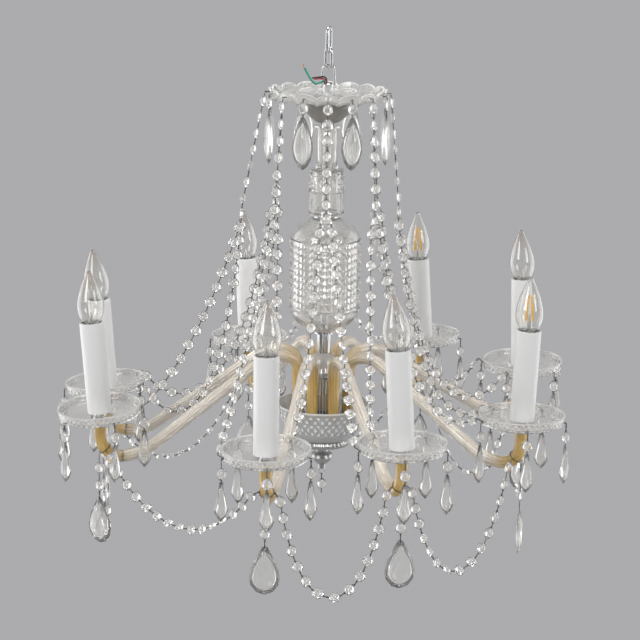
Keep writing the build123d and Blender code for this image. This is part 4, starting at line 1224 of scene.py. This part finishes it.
class CHANDELIER_OT_candles(bpy.types.Operator):
    """White candle tubes, lampholders and pointed bulbs with their filaments."""

    bl_idname = "chandelier.candles"
    bl_label = "Candles"

    def execute(self, context):
        tints = context.scene.chandelier_tints
        white = finish("candle tube", tints.sleeve, roughness=0.4, spread=0.06, coat=0.05, ripple=0.04,
                       scale=120)
        dress(white, "candle_sleeves")
        dress(finish("holder plastic", (0.8, 0.8, 0.78), roughness=0.5), "lampholders")
        lamp = dict(roughness=0.01, spread=0.01, glass=0.97, ior=1.45, ripple=0.0)
        clear = finish("lamp glass", (0.985, 0.98, 0.965), **lamp)
        tipped = finish("lamp glass browner to the tip", tints.tip, **lamp)
        plain = (0.98, 0.975, 0.96)
        # The glass of the filament bulbs goes from plain to the tip colour towards the tip, along the
        # place attribute.
        ramp_on_place(tipped, [(0.0, plain), (0.55, plain), (1.0, tuple(tints.tip))])
        cap = finish("lamp cap", (0.6, 0.58, 0.52), roughness=0.25, spread=0.15, metallic=1.0)
        support = finish("lamp stem", (0.5, 0.5, 0.48), roughness=0.2, metallic=0.6)
        amber = finish("filament coating", tints.filament, roughness=0.5, spread=0.05)
        for i in range(ARM_COUNT):
            top, body, led = SLEEVE_TOPS[i], f"bulb_{i + 1}", i in LED_BULBS
            lean = (lambda v, i=i: bulb_lean(v, i))
            shell = self.envelope(top)
            place = np.clip((shell[0][:, 2] - top) / BULB_HEIGHT, 0, 1)
            add_piece(f"bulb_glass_{i + 1}", moved(shell, lean), clear if led else tipped, body, [body],
                      smooth=60, attribute=place)
            add_piece(f"bulb_cap_{i + 1}", moved(self.cap(top), lean), cap, body, (),
                      smooth=40)
            inner = self.led_filaments(top) if led else self.wire_filament(top)
            add_piece(f"bulb_filament_{i + 1}", moved(inner, lean), amber if led else support, body, (),
                      smooth=60)
            if led:
                add_piece(f"bulb_stem_{i + 1}", moved(self.stem(top, 20), lean), support, body, (),
                          smooth=60)
        return {"FINISHED"}

    def envelope(self, top):
        """Thin shell: the candle's pointed outline, and the same drawn in by 0.7 mm."""
        outline = through([(8.4, -5), (11.4, 1), (14.6, 7), (16.8, 14), (17.4, 21), (16.9, 28),
                           (15.2, 35), (12.4, 44), (9, 52), (5.8, 59), (3.6, 63.5), (1.6, 66.4)], 4)
        outside = np.concatenate([[(0.0, -5.2), (6.6, -5.2)], outline, [(0.0, 66.9)]]) + [0, top]
        inner = np.clip(outline - [0.7, 0], 0.5, None)
        inner = np.concatenate([[(0.0, -4.2), (5.6, -4.2)], inner[:-3], [(0.0, 64.6)]]) + [0, top]
        return joined([lathed(outside, 40), self.turned_inside_out(*lathed(inner, 40))])

    def turned_inside_out(self, vertices, loops, sizes):
        """The shape with every face's corners in the other order."""
        starts = np.repeat(np.cumsum(sizes) - sizes, sizes)
        within = np.arange(len(loops)) - starts
        return vertices, loops[starts + np.repeat(sizes, sizes) - 1 - within], sizes

    def cap(self, top):
        """Screw cap: the radius swells with the sine of the level, one swell each 3.6 mm."""
        levels = np.linspace(-24.8, -8, 36)
        profile = np.stack([6.5 + 0.3 * np.sin(levels * 2 * np.pi / 3.6), levels], 1)
        line = np.concatenate([[(0, -28.2), (2.4, -28.2), (4, -27.2), (6.2, -25.2)], profile,
                               [(6.6, -5.4), (0, -5.4)]]) + [0, top]
        return lathed(line, 32)

    def stem(self, top, height):
        """Glass stem that narrows upwards."""
        line = np.array([(0, -4), (3.2, -4), (2.6, 6), (1.6, height - 2), (0.9, height),
                         (0, height + 0.3)])
        return lathed(line + [0, top], 16)

    def wire_filament(self, top):
        """Glass stem, two support wires that part upwards, and a coiled wire looped between them."""
        t = np.linspace(0, 1, 12)[:, None]
        lines = [np.concatenate([s * (1.2 + 5.5 * t), 0 * t, 2 + 24 * t], 1) for s in (-1, 1)]
        lines.append(np.concatenate([0 * t + 0.2, 0.6 * t, 2 + 26 * t], 1))
        supports = [swept(line + [0, 0, top], 0.22, 6) for line in lines]
        a = np.linspace(0, np.pi, 60)
        loop = np.stack([-6.7 * np.cos(a), 0.5 * np.sin(40 * a),
                         26 - 1.6 * np.sin(a) + 0.5 * np.cos(40 * a)], 1)
        return joined([self.stem(top, 13), *supports, swept(loop + [0, 0, top], 0.12, 5)])

    def led_filaments(self, top):
        """Four straight coated strips round the stem, leaning outwards at the foot."""
        strips = []
        for k in range(4):
            a = k * np.pi / 2 + 0.5
            t = np.linspace(0, 1, 8)[:, None]
            r = 6.2 - 3.4 * t
            line = np.concatenate([r * np.cos(a), r * np.sin(a), 12 + 32 * t], 1)
            strips.append(swept(line + [0, 0, top], 1.0, 8))
        return joined(strips)


class CHANDELIER_OT_pan_drops(bpy.types.Operator):
    """Bead and spear under every hole of every pan."""

    bl_idname = "chandelier.pan_drops"
    bl_label = "Pan drops"

    def execute(self, context):
        sizes, tints = settings(context)
        strings = Strings(sizes, 5)
        spear = flat_stone(mirrored(SPEAR_OUTLINE), 8.0, 0.4)
        for i in range(ARM_COUNT):
            for j in range(PAN_HOLES):
                hole, outwards = pan_edge(i, PAN_FIRST_HOLE[i] + j * 360 / PAN_HOLES)
                hook = hole + outwards
                facing, shift = self.turned_clear(i, hook, direction(37 * math.sin(3 * i + 2 * j)))
                pin_top = hook + shift * 0.5 - UP * 1.5
                tip = hook + shift - UP * PAN_SPEAR_DROP
                strings.add(hook + shift - UP * PAN_BEAD_DROP, pin_top, tip - UP * 3, facing, 0.3)
                strings.tie_between(hole - outwards * 4, hook + outwards * 0.4, UP)
                strings.tie_between(hook, pin_top, outwards)
                turn = strings.random.uniform(-0.2, 0.2)
                strings.stones.append(placed(spear, tip, UP, facing, turn))
        add_piece("pan_drop_stones", joined(strings.stones), pendant_glass(tints), "chandelier",
                  ["bobeche_drops"])
        add_piece("pan_drop_pins", joined(strings.metal), pin_metal(tints), "chandelier", ())
        return {"FINISHED"}

    def turned_clear(self, index, hook, facing):
        """Facing and sideways shift of a drop, so that it doesn't hang through its own arm."""
        away = hook - candle_foot(index)
        offset = float(away @ arm_side(index))
        if away @ arm_outwards(index) > 0 or abs(offset) > DROP_TURN_CLEARANCE:
            return facing, np.zeros(3)
        clear = math.copysign(max(abs(offset), DROP_CLEARANCE), offset)
        return arm_side(index), arm_side(index) * (clear - offset)


class CHANDELIER_OT_strands(bpy.types.Operator):
    """Bead strands from the canopy to the pans, the garlands between the arms, hooks and clips."""

    bl_idname = "chandelier.strands"
    bl_label = "Bead strands"

    def execute(self, context):
        sizes, tints = settings(context)
        strings = Strings(sizes, 11)
        triangle = three_way_stone()
        for i in range(ARM_COUNT):
            outwards = direction(i * 360 / ARM_COUNT)
            stone = outwards * LINK_STONE_RADII[i] + UP * LINK_STONE_LEVELS[i]
            top = outwards * STRAND_TOP_RADIUS + UP * STRAND_TOP_LEVEL
            strings.add(upper_points(top, stone, STRAND_BEADS), top, stone - UP * 2, outwards)
            turn = strings.random.uniform(-0.3, 0.3)
            strings.stones.append(placed(triangle, stone, UP, outwards, turn))
            self.lower_strands(strings, i, stone, outwards)
        for i in range(ARM_COUNT):
            self.garland(strings, i, (i + 1) % ARM_COUNT)
        self.hooks(strings)
        half = len(strings.stones) // 2
        add_piece("strand_beads_upper", joined(strings.stones[:half]), crystal(tints), "chandelier",
                  ["bead_chains"])
        add_piece("strand_beads_lower", joined(strings.stones[half:]), crystal(tints), "chandelier", ())
        add_piece("strand_pins", joined(strings.metal), pin_metal(tints), "chandelier", ())
        add_piece("arm_clips", joined([self.clip(i) for i in range(ARM_COUNT)]), pin_metal(tints),
                  "chandelier", (), smooth=40)
        return {"FINISHED"}

    def lower_strands(self, strings, index, stone, outwards):
        """Two strands from a three-way stone to pans; the last bead of a taut one faces outwards."""
        sideways = np.array([-outwards[1], outwards[0], 0])
        for side, (arm, azimuth), length in zip((-1, 1), STRAND_ENDS[index], STRAND_LENGTHS[index]):
            start = (stone + sideways * side * (LINK_STONE_WIDTH / 2 - 1.5)
                     - UP * (LINK_STONE_HEIGHT + 0.4))
            edge, hole_out = pan_edge(arm, azimuth)
            end = edge + hole_out * STRAND_END_OUT + UP * STRAND_END_RISE
            count = round(length / BEAD_PITCH)
            facing = np.tile(direction(30 * math.sin(3 * index + side)), (count, 1))
            if length < 1.02 * np.linalg.norm(end - start):
                facing[-1] = hole_out
            strings.add(catenary_points(start, end, length, count), start + UP * 1.5, end, facing)
            strings.tie_between(end, edge - hole_out * 3, UP)

    def garland(self, strings, index, after):
        """Catenary of beads between the clips of two neighbouring arms."""
        first, second = outer_bend(index, ARM_RADII[-1]), outer_bend(after, ARM_RADII[-1])
        side, far_side = arm_side(index), arm_side(after)
        centres = catenary_points(first + side * GARLAND_OFFSET, second - far_side * GARLAND_OFFSET,
                                  GARLAND_LENGTH, GARLAND_BEADS)
        facing = np.tile(np.cross((second - first) * np.array([1, 1, 0]), UP), (GARLAND_BEADS, 1))
        middle = slice(GARLAND_STEEP_BEADS, -GARLAND_STEEP_BEADS)
        facing[middle] = unit(facing[middle]) + UP
        strings.add(centres, first + side * (CLIP_R - 0.2), second - far_side * (CLIP_R - 0.2), facing)

    def hooks(self, strings):
        """Wires out of the canopy rim above each strand and almond."""
        for k in range(2 * ARM_COUNT):
            outwards = direction(k * 180 / ARM_COUNT)
            inner = outwards * (RIM_HOOK_START - 1.5) + UP * RIM_HOOK_LEVEL
            outer = outwards * (STRAND_TOP_RADIUS + 0.8) + UP * RIM_HOOK_LEVEL
            strings.tie_between(inner, outer, UP)

    def clip(self, index):
        """Wire ring round the arm's outside bend."""
        angle = math.radians(HOOK_ANGLE)
        tangent = arm_outwards(index) * math.sin(angle) + UP * math.cos(angle)
        centre = outer_bend(index, ARM_RADII[-1])
        return placed(ring_of_wire(ARM_R + 0.8, 0.7), centre, arm_side(index), -tangent)


class CHANDELIER_OT_pendants(bpy.types.Operator):
    """Pear and almond drops that swing, each with its beads, and the finial's bead."""

    bl_idname = "chandelier.pendants"
    bl_label = "Pendants"

    def execute(self, context):
        sizes, tints = settings(context)
        pear = flat_stone(mirrored(PEAR_OUTLINE), 9.6, 0.5)
        almond = flat_stone(mirrored(ALMOND_OUTLINE), 9.6, 0.5)
        for i in range(ARM_COUNT):
            self.hang(sizes, tints, f"pear_{i + 1}", outer_bend(i, ARM_RADII[-1] + ARM_R + 2.0),
                      direction(PEAR_FACING[i]), (PEAR_BEAD_DROPS, PEAR_STONE_DROP), pear,
                      f"pear_pendant_{i + 1}", 20 + i)
            azimuth = (i + 0.5) * 360 / ARM_COUNT
            hook = direction(azimuth) * STRAND_TOP_RADIUS + UP * RIM_HOOK_LEVEL
            self.hang(sizes, tints, f"almond_{i + 1}", hook, direction(azimuth),
                      (ALMOND_BEAD_DROPS, ALMOND_STONE_DROP), almond, f"canopy_pendant_{i + 1}", 40 + i)
        strings = Strings(sizes, 3)
        top = UP * (FINIAL_RING_LEVEL - 4.6)
        strings.add(top - UP * FINIAL_BEAD_DROP, top + UP * 1.2, top - UP * FINIAL_PIN_DROP,
                    direction(20), 0.0)
        add_piece("finial_drop_bead", joined(strings.stones), pendant_glass(tints), "finial_drop",
                  ["finial_bead"])
        add_piece("finial_drop_pin", joined(strings.metal), pin_metal(tints), "finial_drop", ())
        return {"FINISHED"}

    def hang(self, sizes, tints, body, hook, facing, drops, stone, node, seed):
        """Beads and a large stone below a hook point."""
        strings = Strings(sizes, seed)
        centres = hook - UP * np.array(drops[0])[:, None]
        tip = hook - UP * drops[1]
        strings.add(centres, hook - UP * 0.2, tip - UP * 3, facing, 0.2)
        strings.stones.append(placed(stone, tip, UP, facing))
        add_piece(f"{body}_stones", joined(strings.stones), pendant_glass(tints), body, [node])
        add_piece(f"{body}_pins", joined(strings.metal), pin_metal(tints), body, ())


class CHANDELIER_PT_panel(bpy.types.Panel):
    """Lists the chandelier's operators and settings."""

    bl_idname = "CHANDELIER_PT_panel"
    bl_label = "Crystal chandelier"
    bl_space_type = "VIEW_3D"
    bl_region_type = "UI"
    bl_category = "Chandelier"

    def draw(self, context):
        for operator in OPERATORS:
            self.layout.operator(operator.bl_idname)
        for group in settings(context):
            for name in group.bl_rna.properties.keys():
                if name not in {"rna_type", "name"}:
                    self.layout.prop(group, name)


OPERATORS = (CHANDELIER_OT_stage, CHANDELIER_OT_supply_wires, CHANDELIER_OT_hanging,
             CHANDELIER_OT_canopy, CHANDELIER_OT_column, CHANDELIER_OT_receiver,
             CHANDELIER_OT_arms, CHANDELIER_OT_pans, CHANDELIER_OT_candles,
             CHANDELIER_OT_pan_drops, CHANDELIER_OT_strands, CHANDELIER_OT_pendants)
CLASSES = (CHANDELIER_PG_sizes, CHANDELIER_PG_tints, *OPERATORS, CHANDELIER_PT_panel)


def register():
    for cls in CLASSES:
        bpy.utils.register_class(cls)
    bpy.types.Scene.chandelier_sizes = PointerProperty(type=CHANDELIER_PG_sizes)
    bpy.types.Scene.chandelier_tints = PointerProperty(type=CHANDELIER_PG_tints)


def unregister():
    del bpy.types.Scene.chandelier_tints
    del bpy.types.Scene.chandelier_sizes
    for cls in reversed(CLASSES):
        bpy.utils.unregister_class(cls)


def main():
    register()
    bpy.ops.chandelier.stage()
    bpy.ops.chandelier.supply_wires()
    bpy.ops.chandelier.hanging()
    bpy.ops.chandelier.canopy()
    bpy.ops.chandelier.column()
    bpy.ops.chandelier.receiver()
    bpy.ops.chandelier.arms()
    bpy.ops.chandelier.pans()
    bpy.ops.chandelier.candles()
    bpy.ops.chandelier.pan_drops()
    bpy.ops.chandelier.strands()
    bpy.ops.chandelier.pendants()


if __name__ == "__main__":
    main()
